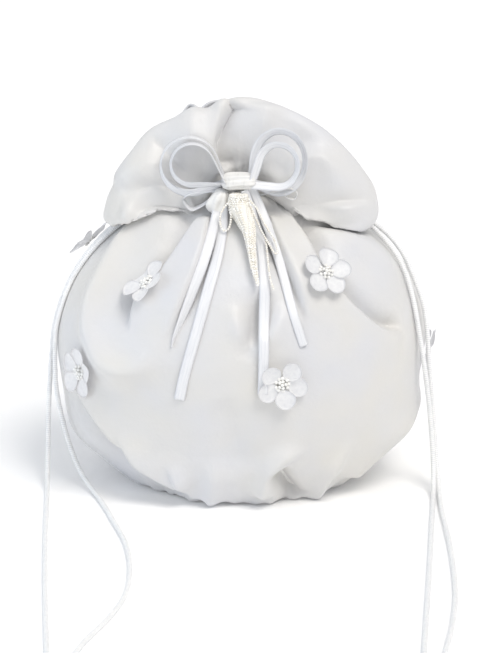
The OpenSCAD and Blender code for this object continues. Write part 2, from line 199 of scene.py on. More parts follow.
def fold(points, normals, line, left, right, taper=(0.15, 0.25), edge=0.9):
    """Height of one fold drawn along a line on the cloth. left and right are (height, width)
    on each side, as seen when the line runs downwards; edge softens the step between them."""
    reach = 3.2 * max(left[1], right[1])
    lo, hi = line.min(0) - reach, line.max(0) + reach
    m = np.all((points > lo) & (points < hi), axis=1)
    out = np.zeros(len(points))
    if not m.any():
        return out
    gap, at, way, near = line_field(points[m], line)
    side = np.sum((points[m] - near) * np.cross(normals[m], way), axis=1)
    w = 0.5 * (1 + np.tanh(side / edge))
    on_right, on_left = (h * np.exp(-((gap / wide) ** 1.7)) for h, wide in (right, left))
    height = w * on_right + (1 - w) * on_left
    height *= smoothstep(at, 0, max(taper[0], 1e-3)) * smoothstep(1 - at, 0, max(taper[1], 1e-3))
    out[m] = height
    return out


# ---------------------------------------------------------------- mesh helpers
def grid_faces(rows, cols, wrap=False, flip=False, start=0):
    faces = []
    for i in range(rows - 1):
        for j in range(cols if wrap else cols - 1):
            a, b = i * cols + j, i * cols + (j + 1) % cols
            quad = (a, b, b + cols, a + cols)
            faces.append(tuple(start + k for k in (quad[::-1] if flip else quad)))
    return faces


def end_caps(rows, cols, first, last, start=0):
    """Triangles from a tube's two end rings to the points numbered first and last."""
    far = start + (rows - 1) * cols
    faces = [(start + k, start + (k + 1) % cols, first) for k in range(cols)]
    return faces + [(far + (k + 1) % cols, far + k, last) for k in range(cols)]


def rim_faces(last, cols, n):
    """Quads that join a top ring, whose first point is last, to the same ring n points on."""
    pairs = [(last + k, last + (k + 1) % cols) for k in range(cols)]
    return [(a, b, n + b, n + a) for a, b in pairs]


def mesh_piece(name, points, faces, material, attributes=None):
    """A smooth mesh object from points in millimetres. attributes maps a name to one number or
    three numbers for each point, for the material to read."""
    mesh = bpy.data.meshes.new(name)
    mesh.from_pydata((np.asarray(points, float) * MM).tolist(), [], faces)
    mesh.polygons.foreach_set("use_smooth", [True] * len(mesh.polygons))
    for key, values in (attributes or {}).items():
        values = np.asarray(values, np.float32)
        kind = "FLOAT" if values.ndim == 1 else "FLOAT_VECTOR"
        attribute = mesh.attributes.new(key, kind, "POINT")
        attribute.data.foreach_set("value" if values.ndim == 1 else "vector", values.ravel())
    mesh.materials.append(material)
    mesh.update()
    o = bpy.data.objects.new(name, mesh)
    bpy.context.scene.collection.objects.link(o)
    return o


def shell_faces(rows, cols, wrap=False):
    """Faces of a closed shell: an outer grid, then an inner grid of the same size."""
    n = rows * cols
    faces = grid_faces(rows, cols, wrap) + grid_faces(rows, cols, wrap, True, n)
    last = cols if wrap else cols - 1
    for j in range(last):
        a, b = j, (j + 1) % cols
        faces.append((b, a, n + a, n + b))
        a, b = (rows - 1) * cols + a, (rows - 1) * cols + b
        faces.append((a, b, n + b, n + a))
    if not wrap:
        for i in range(rows - 1):
            a, b = i * cols, (i + 1) * cols
            faces.append((a, b, n + b, n + a))
            a, b = a + cols - 1, b + cols - 1
            faces.append((b, a, n + a, n + b))
    return faces


def frames_along(path):
    """Tangent, side and up at each point of a path, turning as little as possible."""
    t = unit(np.gradient(path, axis=0))
    ref = np.array([0, 0, 1.0]) if abs(t[0][2]) < 0.9 else np.array([0, 1.0, 0])
    side = unit(np.cross(t[0], ref))
    sides = []
    for i in range(len(path)):
        side = unit(side - (side @ t[i]) * t[i])
        sides.append(side)
    sides = np.array(sides)
    return t, sides, np.cross(t, sides)


def tube_points(path, radii, sides):
    _, a, b = frames_along(path)
    phi = np.linspace(0, 2 * np.pi, sides, endpoint=False)
    ring = np.cos(phi)[None, :, None] * a[:, None, :] + np.sin(phi)[None, :, None] * b[:, None, :]
    radii = np.asarray(radii, float)
    if radii.ndim == 1:
        radii = radii[:, None]
    return path[:, None, :] + ring * radii[..., None], phi


def tube_piece(name, path, radii, sides, material):
    """A closed tube along a path, with arc length and angle for the material to read."""
    grid, phi = tube_points(path, radii, sides)
    rows = len(path)
    arc = arc_along(path)
    points = np.concatenate([grid.reshape(-1, 3), path[:1], path[-1:]])
    n = rows * sides
    faces = [f[::-1] for f in grid_faces(rows, sides, wrap=True)] + end_caps(rows, sides, n, n + 1)
    along = np.concatenate([np.repeat(arc, sides), [0, arc[-1]]])
    # the angle is stored as its cosine and sine, so that it has no seam
    turn = np.concatenate([np.tile(phi, rows), [0, 0]])
    data = np.stack([along, np.cos(turn), np.sin(turn)], axis=1)
    return mesh_piece(name, points, faces, material, {"around": data})


def ribbon_piece(name, path, across, width, thick, material, cup=0.0):
    """A ribbon along a path. across is the direction of its width at each point; cup bends its
    edges towards its back. Its material reads how far along and across each point is."""
    t = unit(np.gradient(path, axis=0))
    across = unit(across - np.sum(across * t, axis=1, keepdims=True) * t)
    face = np.cross(t, across)
    u = np.linspace(-1, 1, 7)
    width = np.broadcast_to(np.asarray(width, float), (len(path),))
    mid = path[:, None, :] + across[:, None, :] * (u[None, :, None] * width[:, None, None] / 2)
    mid = mid - face[:, None, :] * (cup * (u**2)[None, :, None])
    half = thick / 2 * np.sqrt(np.clip(1 - 0.8 * np.abs(u) ** 8, 0.05, 1))
    outer = mid + face[:, None, :] * half[None, :, None]
    inner = mid - face[:, None, :] * half[None, :, None]
    arc = arc_along(path)
    rows, cols = len(path), len(u)
    points = np.concatenate([outer.reshape(-1, 3), inner.reshape(-1, 3)])
    one = np.stack([np.repeat(arc, cols), np.tile(u, rows), np.repeat(width, cols)], axis=1)
    data = {"ribbon": np.concatenate([one, one])}
    return mesh_piece(name, points, shell_faces(rows, cols), material, data)


def bead_mesh(centres, radius, squeeze=1.0, rings=6, sides=10):
    """Points, faces and tone of many small beads."""
    theta = np.linspace(0, np.pi, rings + 1)[1:-1]
    phi = np.linspace(0, 2 * np.pi, sides, endpoint=False)
    ball = [[0, 0, 1]]
    for a in theta:
        ball += [[math.sin(a) * math.cos(b), math.sin(a) * math.sin(b), math.cos(a)] for b in phi]
    ball = np.array(ball + [[0, 0, -1]], float)
    faces = [(0, 1 + k, 1 + (k + 1) % sides) for k in range(sides)]
    for i in range(len(theta) - 1):
        for k in range(sides):
            a, b = 1 + i * sides + k, 1 + i * sides + (k + 1) % sides
            faces.append((a, a + sides, b + sides, b))
    end, last = len(ball) - 1, 1 + (len(theta) - 1) * sides
    faces += [(end, last + (k + 1) % sides, last + k) for k in range(sides)]
    points, out, tone = [], [], []
    for i, c in enumerate(centres):
        turn = RNG.normal(size=(3, 3))
        q, _ = np.linalg.qr(turn)
        size = radius * RNG.uniform(0.93, 1.05)
        points.append(np.asarray(c) + (ball * [1, 1, squeeze] * size) @ q.T)
        out += [tuple(i * len(ball) + k for k in f) for f in faces]
        tone.append(np.full(len(ball), RNG.random()))
    return np.concatenate(points), out, np.concatenate(tone)


def noise_at(points, scale, seed):
    """Smooth noise from -1 to 1 at each point, over about scale millimetres."""
    off = Vector((seed * 17.3, seed * 5.1, seed * 9.7))
    return np.array([noise.noise(Vector(p) / scale + off) for p in np.asarray(points, float)])


# ---------------------------------------------------------------- materials
class Finish:
    """A material with a Principled surface, built node by node."""

    def __init__(self, name, **values):
        self.mat = bpy.data.materials.new(name)
        self.mat.use_nodes = True
        self.tree = self.mat.node_tree
        self.bsdf = self.tree.nodes["Principled BSDF"]
        for key, value in values.items():
            self.bsdf.inputs[key.replace("_", " ")].default_value = value

    def node(self, kind, inputs=None, **props):
        n = self.tree.nodes.new("ShaderNode" + kind)
        for key, value in props.items():
            setattr(n, key, value)
        for key, value in (inputs or {}).items():
            if isinstance(value, bpy.types.NodeSocket):
                self.tree.links.new(value, n.inputs[key])
            else:
                n.inputs[key].default_value = value
        return n

    def attribute(self, name, output="Vector"):
        return self.node("Attribute", attribute_name=name).outputs[output]

    def parts(self, vector):
        return self.node("SeparateXYZ", {"Vector": vector}).outputs

    def math(self, operation, a, b=0.0, c=0.0):
        return self.node("Math", {0: a, 1: b, 2: c}, operation=operation).outputs[0]

    def stretch(self, vector, scale):
        return self.node("Mapping", {"Vector": vector, "Scale": scale}).outputs[0]

    def noise(self, vector, scale, detail=3.0, roughness=0.55):
        given = {"Vector": vector, "Scale": scale, "Detail": detail, "Roughness": roughness}
        return self.node("TexNoise", given).outputs["Fac"]

    def wave(self, value, pitch):
        """A sine with one period to each pitch of the value."""
        return self.math("SINE", self.math("MULTIPLY", value, 2 * math.pi / pitch))

    def place(self):
        return self.node("TexCoord").outputs["Object"]

    def tinted(self, fac, lo, hi, edge, share, edge_color):
        """A ramp between two tones that turns towards an edge's tone."""
        shade = self.node("Mix", data_type="RGBA")
        self.tree.links.new(self.math("MULTIPLY", edge, share), shade.inputs["Factor"])
        self.tree.links.new(self.ramp(fac, lo, hi), shade.inputs["A"])
        shade.inputs["B"].default_value = (*edge_color, 1)
        return shade.outputs["Result"]

    def ramp(self, fac, lo, hi, at=(0.3, 0.7)):
        n = self.node("ValToRGB", {"Fac": fac})
        n.color_ramp.elements[0].position, n.color_ramp.elements[1].position = at
        n.color_ramp.elements[0].color = (*lo, 1)
        n.color_ramp.elements[1].color = (*hi, 1)
        return n.outputs["Color"]

    def spread(self, fac, lo, hi, at=(0.3, 0.7)):
        given = {"Value": fac, "From Min": at[0], "From Max": at[1], "To Min": lo, "To Max": hi}
        return self.node("MapRange", given).outputs[0]

    def bump(self, height, strength, distance, before=None):
        n = self.node("Bump", {"Height": height, "Strength": strength, "Distance": distance * MM})
        if before is not None:
            self.tree.links.new(before, n.inputs["Normal"])
        return n.outputs["Normal"]

    def use(self, **links):
        for key, socket in links.items():
            self.tree.links.new(socket, self.bsdf.inputs[key.replace("_", " ")])
        return self.mat


def satin(name, cool, warm, roughness=(0.33, 0.48), slub=1.0):
    """Woven satin: floats along the cloth's length, faint slubs and a soft sheen."""
    f = Finish(name, Sheen_Weight=0.24, Sheen_Roughness=0.4, Specular_IOR_Level=0.42, Anisotropic=0.35)
    cloth = f.attribute("cloth")
    x, y, _ = f.parts(cloth)
    threads = f.wave(x, 0.42)
    picks = f.wave(f.math("ADD", y, f.math("MULTIPLY", x, 0.4)), 0.9)
    weave = f.math("ADD", f.math("MULTIPLY", threads, 0.6), f.math("MULTIPLY", picks, 0.4))
    slubs = f.noise(f.stretch(cloth, (0.9, 0.05, 1)), 1.0, 2.0)
    crumple = f.noise(cloth, 0.06, 4.0, 0.6)
    blotch = f.noise(f.place(), 22.0, 2.0)
    normal = f.bump(weave, 0.22, 0.05)
    normal = f.bump(slubs, 0.02 * slub, 0.35, normal)
    normal = f.bump(crumple, 0.32 * slub, 2.2, normal)
    tone = f.ramp(blotch, cool, warm)
    return f.use(Base_Color=tone, Roughness=f.spread(slubs, *roughness), Normal=normal)


def lining_finish():
    f = Finish("lining_taffeta", Sheen_Weight=0.1, Specular_IOR_Level=0.3)
    cloth = f.attribute("cloth")
    x, y, _ = f.parts(cloth)
    weave = f.math("MULTIPLY", f.wave(x, 0.7), f.wave(y, 0.7))
    uneven = f.noise(cloth, 0.12, 3.0)
    return f.use(
        Base_Color=f.ramp(uneven, (0.80, 0.79, 0.77), (0.86, 0.85, 0.83)),
        Roughness=f.spread(uneven, 0.5, 0.7),
        Normal=f.bump(uneven, 0.2, 1.0, f.bump(weave, 0.2, 0.08)),
    )


def ribbon_finish(name, cool, warm):
    """Narrow satin ribbon with a corded selvage on each edge."""
    f = Finish(name, Sheen_Weight=0.15, Specular_IOR_Level=0.5, Anisotropic=0.4)
    along, across, _ = f.parts(f.attribute("ribbon"))
    edge = f.math("ABSOLUTE", across)
    selvage = f.spread(edge, 0.0, 1.0, (0.78, 0.9))
    ribs = f.wave(along, 0.45)
    floats = f.math("SINE", f.math("MULTIPLY", across, 40.0))
    height = f.math("ADD", f.math("MULTIPLY", ribs, selvage), f.math("MULTIPLY", floats, 0.5))
    streak = f.noise(f.stretch(f.attribute("ribbon"), (0.08, 3.0, 1)), 1.0, 2.0)
    return f.use(
        Base_Color=f.tinted(streak, cool, warm, selvage, 0.55, (0.66, 0.67, 0.71)),
        Roughness=f.spread(streak, 0.24, 0.38),
        Normal=f.bump(selvage, 0.4, 0.15, f.bump(height, 0.25, 0.08)),
    )


def cord_finish():
    """Satin rattail cord: fine slanted wraps round a soft core, with painted shade in the grooves between the
    wraps.
    """
    f = Finish("cord_satin", Sheen_Weight=0.2, Specular_IOR_Level=0.45)
    along, c, s = f.parts(f.attribute("around"))
    angle = f.math("ARCTAN2", s, c)
    wrap = f.math("SINE", f.math("ADD", f.math("MULTIPLY", along, 2 * math.pi / 1.05), angle))
    uneven = f.noise(f.stretch(f.attribute("around"), (0.35, 0.8, 0.8)), 1.0, 3.0)
    # painted shade: the colour darkens in the grooves between the wraps and lightens on their crests, on top
    # of a random uneven tone
    groove_shade_and_tone = f.math("ADD", f.math("MULTIPLY", wrap, 0.25), uneven)
    return f.use(
        Base_Color=f.ramp(groove_shade_and_tone, (0.80, 0.81, 0.83), (0.95, 0.95, 0.94), (0.2, 0.7)),
        Roughness=f.spread(uneven, 0.3, 0.5),
        Normal=f.bump(uneven, 0.25, 0.3, f.bump(wrap, 0.5, 0.16)),
    )


def organza_finish():
    """Organza: a fine open weave, a crisp cut rim and faint veins. Its faint glow stands for the
    light that comes through it."""
    f = Finish("petal_organza", Emission_Color=(0.88, 0.885, 0.92, 1), Emission_Strength=0.30,
               Sheen_Weight=0.3, Sheen_Roughness=0.3, Specular_IOR_Level=0.45)
    x, y, rim = f.parts(f.attribute("petal"))
    mesh = f.math("MULTIPLY", f.wave(x, 0.5), f.wave(y, 0.5))
    edge = f.spread(rim, 0.0, 1.0, (0.82, 0.97))
    veins = f.noise(f.attribute("petal"), 0.45, 3.0)
    tone = f.tinted(veins, (0.47, 0.47, 0.48), (0.56, 0.56, 0.555), edge, 0.6, (0.48, 0.48, 0.485))
    return f.use(
        Base_Color=tone,
        Roughness=f.spread(veins, 0.3, 0.5),
        Normal=f.bump(edge, 0.4, 0.2, f.bump(veins, 0.3, 0.5, f.bump(mesh, 0.2, 0.06))),
    )


def bead_finish(name, dark, light, roughness, coat=0.4):
    """Pearly beads, each with its own tone and a slightly uneven glaze."""
    f = Finish(name, Coat_Weight=coat, Coat_Roughness=0.08, Specular_IOR_Level=0.6)
    tone = f.attribute("tone", "Fac")
    glaze = f.noise(f.place(), 1500.0, 2.0)
    mix = f.math("ADD", f.math("MULTIPLY", tone, 0.7), f.math("MULTIPLY", glaze, 0.3))
    return f.use(
        Base_Color=f.ramp(mix, dark, light, (0.1, 0.8)),
        Roughness=f.spread(glaze, roughness, roughness + 0.15),
        Normal=f.bump(glaze, 0.15, 0.2),
    )


def board_finish():
    f = Finish("stiff_board", Specular_IOR_Level=0.2)
    fibres = f.noise(f.stretch(f.place(), (900, 140, 140)), 1.0, 4.0)
    return f.use(
        Base_Color=f.ramp(fibres, (0.52, 0.44, 0.33), (0.70, 0.62, 0.50)),
        Roughness=f.spread(fibres, 0.75, 0.95),
        Normal=f.bump(fibres, 0.3, 0.3),
    )


def floor_finish():
    f = Finish("pale_floor", Specular_IOR_Level=0.1, Emission_Color=(1, 1, 1, 1), Emission_Strength=0.07)
    grain = f.noise(f.place(), 60.0, 3.0)
    tone = f.ramp(grain, (0.93, 0.93, 0.935), (0.95, 0.95, 0.95))
    return f.use(Base_Color=tone, Roughness=f.spread(grain, 0.7, 0.85))


COOL, WARM = (0.672, 0.678, 0.706), (0.705, 0.690, 0.658)
SATIN = satin("satin_body", COOL, WARM)
SATIN_HEADER = satin("satin_header", COOL, WARM)
SATIN_BASE = satin("satin_base", COOL, WARM)
LINING = lining_finish()
RIBBON = ribbon_finish("ribbon_satin", (0.745, 0.755, 0.785), (0.81, 0.815, 0.83))
WRAP_RIBBON = ribbon_finish("ribbon_wrap", (0.78, 0.775, 0.755), (0.85, 0.84, 0.82))
CORD = cord_finish()
ORGANZA = organza_finish()
SEED = bead_finish("seed_pearl", (0.86, 0.82, 0.73), (0.97, 0.955, 0.92), 0.2)
SEED_CORE = bead_finish("seed_string", (0.88, 0.85, 0.78), (0.95, 0.93, 0.88), 0.45)
FLOWER_BEAD = bead_finish("flower_pearl", (0.80, 0.795, 0.77), (0.93, 0.925, 0.90), 0.25)
BOARD = board_finish()


# ---------------------------------------------------------------- cords
CORD_D = 2.5
ROUTES = {
    "left_outer": [
        (-20, 1.5, 151.8), (-25, 1.5, 151.7), (-32, 0.6, 150), (-42, -1.3, 146.8), (-52, -3, 142.6),
        (-62, -4.6, 136.4), (-72, -6, 128), (-80, -7.2, 119), (-87, -8, 108.2), (-92.5, -8.5, 96),
        (-96.5, -9, 82), (-98.2, -10, 66), (-99.3, -11.5, 50), (-100, -14, 34), (-100.3, -18, 19),
        (-100.3, -26, 7.5), (-100, -38, 2.2), (-99.4, -54, 1.5), (-98, -98, 1.5), (-96, -146, 1.5),
        (-93.5, -197, 1.5), (-90.5, -250, 1.5), (-87.8, -295, 1.5), (-85.9, -330, 2.6), (-85.3, -338, 4),
    ],
    "left_inner": [
        (-20, -1.5, 151.8), (-25, -1.5, 151.7), (-32, -2.5, 150), (-42, -4.6, 146.6), (-52, -6.5, 142.2),
        (-62, -8.4, 136), (-72, -10.2, 127.6), (-80, -11.8, 118.4), (-87, -13, 107.6), (-92, -14, 95),
        (-95.6, -15, 81), (-96.2, -16, 66), (-95.6, -17.5, 50), (-92.5, -20, 34), (-88.5, -23, 20),
        (-83.5, -28, 9), (-78, -37, 3.2), (-72, -54, 1.6), (-64.5, -85, 1.5), (-57, -120, 1.5),
        (-54, -158, 1.5), (-56, -194, 1.5), (-64, -226, 1.5), (-74, -256, 1.5), (-80.5, -290, 1.5),
        (-82.3, -330, 2.6), (-82.2, -338, 4),
    ],
    "right_outer": [
        (20, 1.5, 157), (25, 1.5, 156.8), (33, 0.9, 153), (42, 0.2, 148.6), (52, -0.8, 144),
        (60, -1.9, 139.6), (68.7, -3, 134.6), (76.5, -4.6, 128.4), (83.5, -7, 119.6), (88, -10.3, 110.4),
        (91.4, -14, 102.4), (94, -18.4, 95), (95.6, -22, 85), (96.5, -23.4, 72), (97.6, -23.6, 58),
        (99, -23.6, 43), (100.2, -24.4, 28), (101.2, -27, 15), (102, -33, 5.5), (102.2, -46, 1.7),
        (102.4, -72, 1.5), (103.7, -108, 1.5), (104.2, -146, 1.5), (103.4, -190, 1.5), (99.6, -232, 1.5),
        (94.4, -268, 1.5), (89, -302, 1.5), (86.1, -330, 2.6), (85.8, -338, 4),
    ],
    "right_inner": [
        (20, -1.5, 157), (25, -1.5, 156.8), (33, -2.3, 152.8), (42, -3.3, 148.2), (52, -4.6, 143.4),
        (60, -6, 138.8), (68.2, -7.8, 133.4), (75, -10.2, 126.8), (81.3, -13.6, 118.4), (85.4, -17.6, 109.8),
        (88, -22, 101.6), (89.8, -25.8, 93.4), (91.4, -28, 84), (93.4, -28.8, 72), (95.4, -28.8, 58),
        (97.2, -28.6, 43), (98.6, -29, 28), (99.4, -31.6, 15), (99.4, -38, 5.5), (98.8, -51, 1.7),
        (96.8, -84, 1.5), (93, -146, 1.5), (89.7, -197, 1.5), (85.8, -255, 1.5), (83.4, -298, 1.5),
        (82.8, -330, 2.6), (82.7, -338, 4),
    ],
}
KNOT_AT = {"left": (-83.8, -340, 4.2), "right": (84.2, -340, 4.2)}
CORD_LINES = {k: catmull(v, 2) for k, v in ROUTES.items()}


def cord_tube(name, line):
    """One drawcord strand: soft and slightly uneven, with a ring each millimetre."""
    length = np.linalg.norm(np.diff(line, axis=0), axis=1).sum()
    path = resample(catmull(line, 4), int(length))
    arc = np.linspace(0, length, len(path))
    wobble = 1 + 0.03 * np.sin(arc * 0.9) + 0.02 * np.sin(arc * 0.23 + 1)
    return tube_piece(name, path, CORD_D / 2 * wobble, 14, CORD), path


def cord_knot(name, at):
    """An overhand knot of the two strands: two crossing turns, with the cut ends beyond."""
    at = np.array(at, float)
    phi = np.linspace(0, 2 * np.pi, 60)
    over, under = np.sin(phi) + 1.6 * np.sin(2 * phi), np.cos(phi) - 1.6 * np.cos(2 * phi)
    trefoil = np.stack([1.15 * over, 1.15 * under, -1.24 * np.sin(3 * phi)], axis=1)
    parts = [tube_points(at + trefoil, np.full(60, 1.28), 12)[0]]
    for side in (-1, 1):
        lean = math.radians(14) * side
        end = at + [side * 1.8, -2, -4 + CORD_D / 2]
        way = np.array([math.sin(lean), -math.cos(lean), 0])
        path = end + np.linspace(-2.5, 12, 15)[:, None] * way
        path[:, 0] += 0.5 * side * np.sin(np.linspace(0, 3, 15))
        radii = np.full(15, 1.22)
        radii[-2:] = [1.3, 1.05]
        parts.append(tube_points(path, radii, 12)[0])
    points, faces, data = [], [], []
    for grid in parts:
        start = sum(len(p) for p in points)
        rows, cols = grid.shape[:2]
        points.append(grid.reshape(-1, 3))
        faces += [f[::-1] for f in grid_faces(rows, cols, wrap=True, start=start)]
        points.append(grid[[0, -1]].mean(1))
        cap = start + rows * cols
        faces += end_caps(rows, cols, cap, cap + 1, start)
        phi_k = np.linspace(0, 2 * np.pi, cols, endpoint=False)
        turn = [np.tile(np.cos(phi_k), rows), np.tile(np.sin(phi_k), rows)]
        data.append(np.stack([np.repeat(np.arange(rows) * 0.6, cols), *turn], axis=1))
        data.append(np.array([[0, 1, 0], [0, 1, 0]], float))
    points = np.concatenate(points)
    points[:, 2] = np.maximum(points[:, 2], 0.25)
    return mesh_piece(name, points, faces, CORD, {"around": np.concatenate(data)})


def make_cords():
    knots = {}
    for side, at in KNOT_AT.items():
        knots[side] = cord_knot(f"cord_knot_{side}", at)
        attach(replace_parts(knots[side], f"knot_{side}"), "root")
    for key, line in CORD_LINES.items():
        strand, path = cord_tube(f"drawcord_{key}", line)
        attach(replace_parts(strand, f"cord_{key}"), "root")


make_cords()


# ---------------------------------------------------------------- bag body
def meridian_heights(count):
    """Heights of the body's rows, evenly spaced along the cloth."""
    upper = NECK_Z - np.linspace(1, 0, 1200)[1:] ** 2.2 * (NECK_Z - BELLY_Z)
    z = np.concatenate([np.linspace(0, BELLY_Z, 400), upper])
    r = half_width(z)
    s = np.concatenate([[0], np.cumsum(np.hypot(np.diff(z), np.diff(r)))])
    return np.interp(np.linspace(0, s[-1], count), s, z), s[-1]


BODY_ROWS, BODY_COLS = 168, 500
FOLD_DEPTH = 1.55
# Each fold is a line of (x, z) places down the cloth, then (height, width) to its left and to
# its right, and the shares of its length over which its two ends fade
FRONT_FOLDS = [
    # left puff: a rounded ridge that turns back up round a dent
    ([(-26, 147), (-40, 142), (-56, 133), (-67, 118), (-74, 102), (-74, 88), (-66, 76), (-55, 75),
      (-45, 84), (-37, 100)], (5.4, 8), (5.4, 8), (0.12, 0.3)),
    # the dent inside it, under the edge of the left flat pleat
    ([(-20, 146), (-29, 138), (-41, 124), (-55, 108), (-57, 92)], (-6.0, 7), (1.6, 12), (0.1, 0.3)),
    ([(-14, 146), (-18, 134), (-25, 118), (-32, 102), (-38, 90)], (2.4, 10), (-2.6, 8), (0.1, 0.4)),
    # right flat pleat
    ([(12, 147), (18, 137), (24, 126), (30, 112), (34, 99)], (-2.8, 8), (2.4, 11), (0.1, 0.4)),
    ([(25, 147), (36, 134), (50, 115), (70, 95), (83, 88)], (1.6, 12), (-5.2, 6), (0.15, 0.12)),
    # right shoulder puff
    ([(30, 144), (53, 134), (71, 121), (85, 103)], (3.4, 10), (3.4, 12), (0.15, 0.35)),
    ([(27, 144), (45, 139), (63, 133)], (-3, 4), (-3, 4), (0.2, 0.3)),
    # middle
    ([(11, 119), (7, 98), (2, 82)], (-4.4, 6), (-4.4, 7), (0.3, 0.4)),
    ([(-6, 113), (0, 98), (8, 90), (16, 97), (23, 112)], (2.6, 4.5), (2.6, 4.5), (0.3, 0.3)),
    ([(-8, 66), (-6, 50), (-2, 34), (3, 20)], (-1.8, 11), (-1.8, 9), (0.3, 0.3)),
    ([(-16, 3), (-14, 16), (-12, 30)], (2.4, 7), (2.4, 7), (0.05, 0.5)),
    # low left, where the front laps over the side
    ([(-86, 64), (-79, 52), (-69, 39), (-56, 26), (-41, 16), (-27, 7)], (-12.5, 11), (4, 15), (0.15, 0.12)),
    ([(-62, 38), (-52, 24), (-42, 13), (-32, 7)], (-2.8, 6), (1.6, 9), (0.3, 0.1)),
    ([(-38, 26), (-30, 12), (-25, 4)], (-1.5, 6), (1.5, 6), (0.4, 0.05)),
    # the puckered tuck at the hem
    ([(10, 6), (12, 15), (16, 25), (23, 31), (33, 31)], (3.6, 5.5), (4.4, 4.5), (0.15, 0.3)),
    ([(19, 25), (22, 18), (27, 8), (30, 2)], (-8.0, 4.5), (-3.5, 4), (0.25, 0.02)),
    ([(38, 2), (42, 12), (48, 23), (57, 37)], (2.6, 5), (2.6, 4), (0.05, 0.4)),
    # low right
    ([(93, 52), (88, 42), (82, 33), (73, 25), (64, 16), (57, 8)], (3.0, 16), (-8.0, 10), (0.2, 0.1)),
]
BACK_FOLDS = [
    ([(-20, 146), (-36, 136), (-52, 120), (-66, 98), (-72, 82)], (3.6, 9), (3.2, 9), (0.1, 0.4)),
    ([(-12, 146), (-22, 134), (-36, 112), (-46, 92)], (-4.5, 6), (1.6, 11), (0.1, 0.4)),
    ([(-3, 147), (-6, 132), (-14, 108), (-20, 84)], (2.6, 9), (-3.0, 8), (0.1, 0.4)),
    ([(6, 147), (10, 130), (12, 108), (10, 88)], (-3.2, 7), (2.2, 10), (0.1, 0.4)),
    ([(14, 146), (26, 132), (38, 112), (44, 94)], (2.6, 9), (-4.2, 6), (0.1, 0.4)),
    ([(22, 146), (42, 136), (62, 118), (78, 96)], (3.2, 10), (2.4, 10), (0.1, 0.35)),
    ([(86, 50), (76, 36), (62, 20), (50, 6)], (2.0, 16), (-6.0, 10), (0.25, 0.08)),
    ([(-80, 50), (-70, 34), (-56, 18), (-44, 5)], (-5.5, 10), (2.0, 16), (0.25, 0.08)),
    ([(-18, 36), (-14, 20), (-12, 3)], (2.8, 7), (2.4, 6), (0.4, 0.05)),
    ([(16, 34), (20, 18), (22, 3)], (-4.0, 5), (2.6, 7), (0.4, 0.05)),
]


def radial_gathers(angle, gap, radius_at, count, height, width, length, rng):
    """Small gathers drawn in at a seam: ridges that start at the seam and widen as they fade.
    gap is the distance from the seam along the cloth, and radius_at turns angles into lengths."""
    out = np.zeros_like(angle)
    gap = np.maximum(gap, 0)
    starts = (np.arange(count) + rng.uniform(-0.32, 0.32, count)) * 2 * np.pi / count
    for a in starts:
        h, w = height * rng.uniform(0.55, 1.3), width * rng.uniform(0.7, 1.4)
        reach = length * rng.uniform(0.5, 1.6)
        drift = rng.normal(0, 0.0012)
        off = np.angle(np.exp(1j * (angle - a - drift * gap))) * radius_at
        w_here = w + 0.11 * gap
        out += h * np.exp(-np.abs(off / w_here) ** 1.6) * np.exp(-((gap / reach) ** 1.5))
    return out


def body_surface():
    """The bag's cloth as a closed ring of columns: plain points, folds and the final points."""
    heights, girth = meridian_heights(BODY_ROWS)
    angle = np.linspace(0, 2 * np.pi, BODY_COLS, endpoint=False)
    z = heights[:, None] + 0 * angle
    plain = np.stack([half_width(z) * np.cos(angle), half_depth(z) * np.sin(angle), z], axis=2)
    normals = grid_normals(plain, wrap=True)
    flat, nrm = plain.reshape(-1, 3), normals.reshape(-1, 3)
    lift = np.zeros(len(flat))
    # the back's folds are drawn as seen from behind
    for folds, near, turn in ((FRONT_FOLDS, flat[:, 1] < 12, 1), (BACK_FOLDS, flat[:, 1] > -12, -1)):
        turned, facing = flat[near] * [turn, turn, 1], nrm[near] * [turn, turn, 1]
        for line, left, right, taper in folds:
            line = catmull(line, 5)
            route = np.stack([line[:, 0], front_y(line[:, 0], line[:, 1]), line[:, 1]], axis=1)
            lift[near] += FOLD_DEPTH * fold(turned, facing, route, left, right, taper)
    step = girth / (BODY_ROWS - 1)
    from_hem = np.repeat(np.arange(BODY_ROWS) * step, BODY_COLS)
    from_neck = np.maximum(girth - from_hem, 0)
    around = np.tile(angle, BODY_ROWS)
    radius = np.hypot(flat[:, 0], flat[:, 1])
    rng = np.random.default_rng(11)
    neck = radial_gathers(around, from_neck, radius, 24, 2.0, 1.5, 22, rng)
    hem = radial_gathers(around, from_hem, radius, 34, 2.2, 2.0, 15, rng)
    # the cloth stands up against the casing where the drawcords gather it
    collar = 7.0 * np.exp(-((from_neck / 6.5) ** 1.3))
    lift += neck - 0.8 * np.exp(-((from_neck / 14) ** 2)) + collar
    lift += hem - 0.9 * np.exp(-((from_hem / 12) ** 2))
    # the filled bag sags outwards low on each side
    for x, z, out in ((88, 27, 5.0), (-87, 25, 5.0)):
        lift += out * np.exp(-(((flat[:, 0] - x) / 20) ** 2) - ((flat[:, 2] - z) / 15) ** 2)
    lift += 1.5 * noise_at(flat, 46, 1) * smoothstep(from_neck, 4, 30) * smoothstep(from_hem, 2, 20)
    lift += 0.35 * noise_at(flat, 13, 2)
    return plain, normals, lift.reshape(BODY_ROWS, BODY_COLS), girth


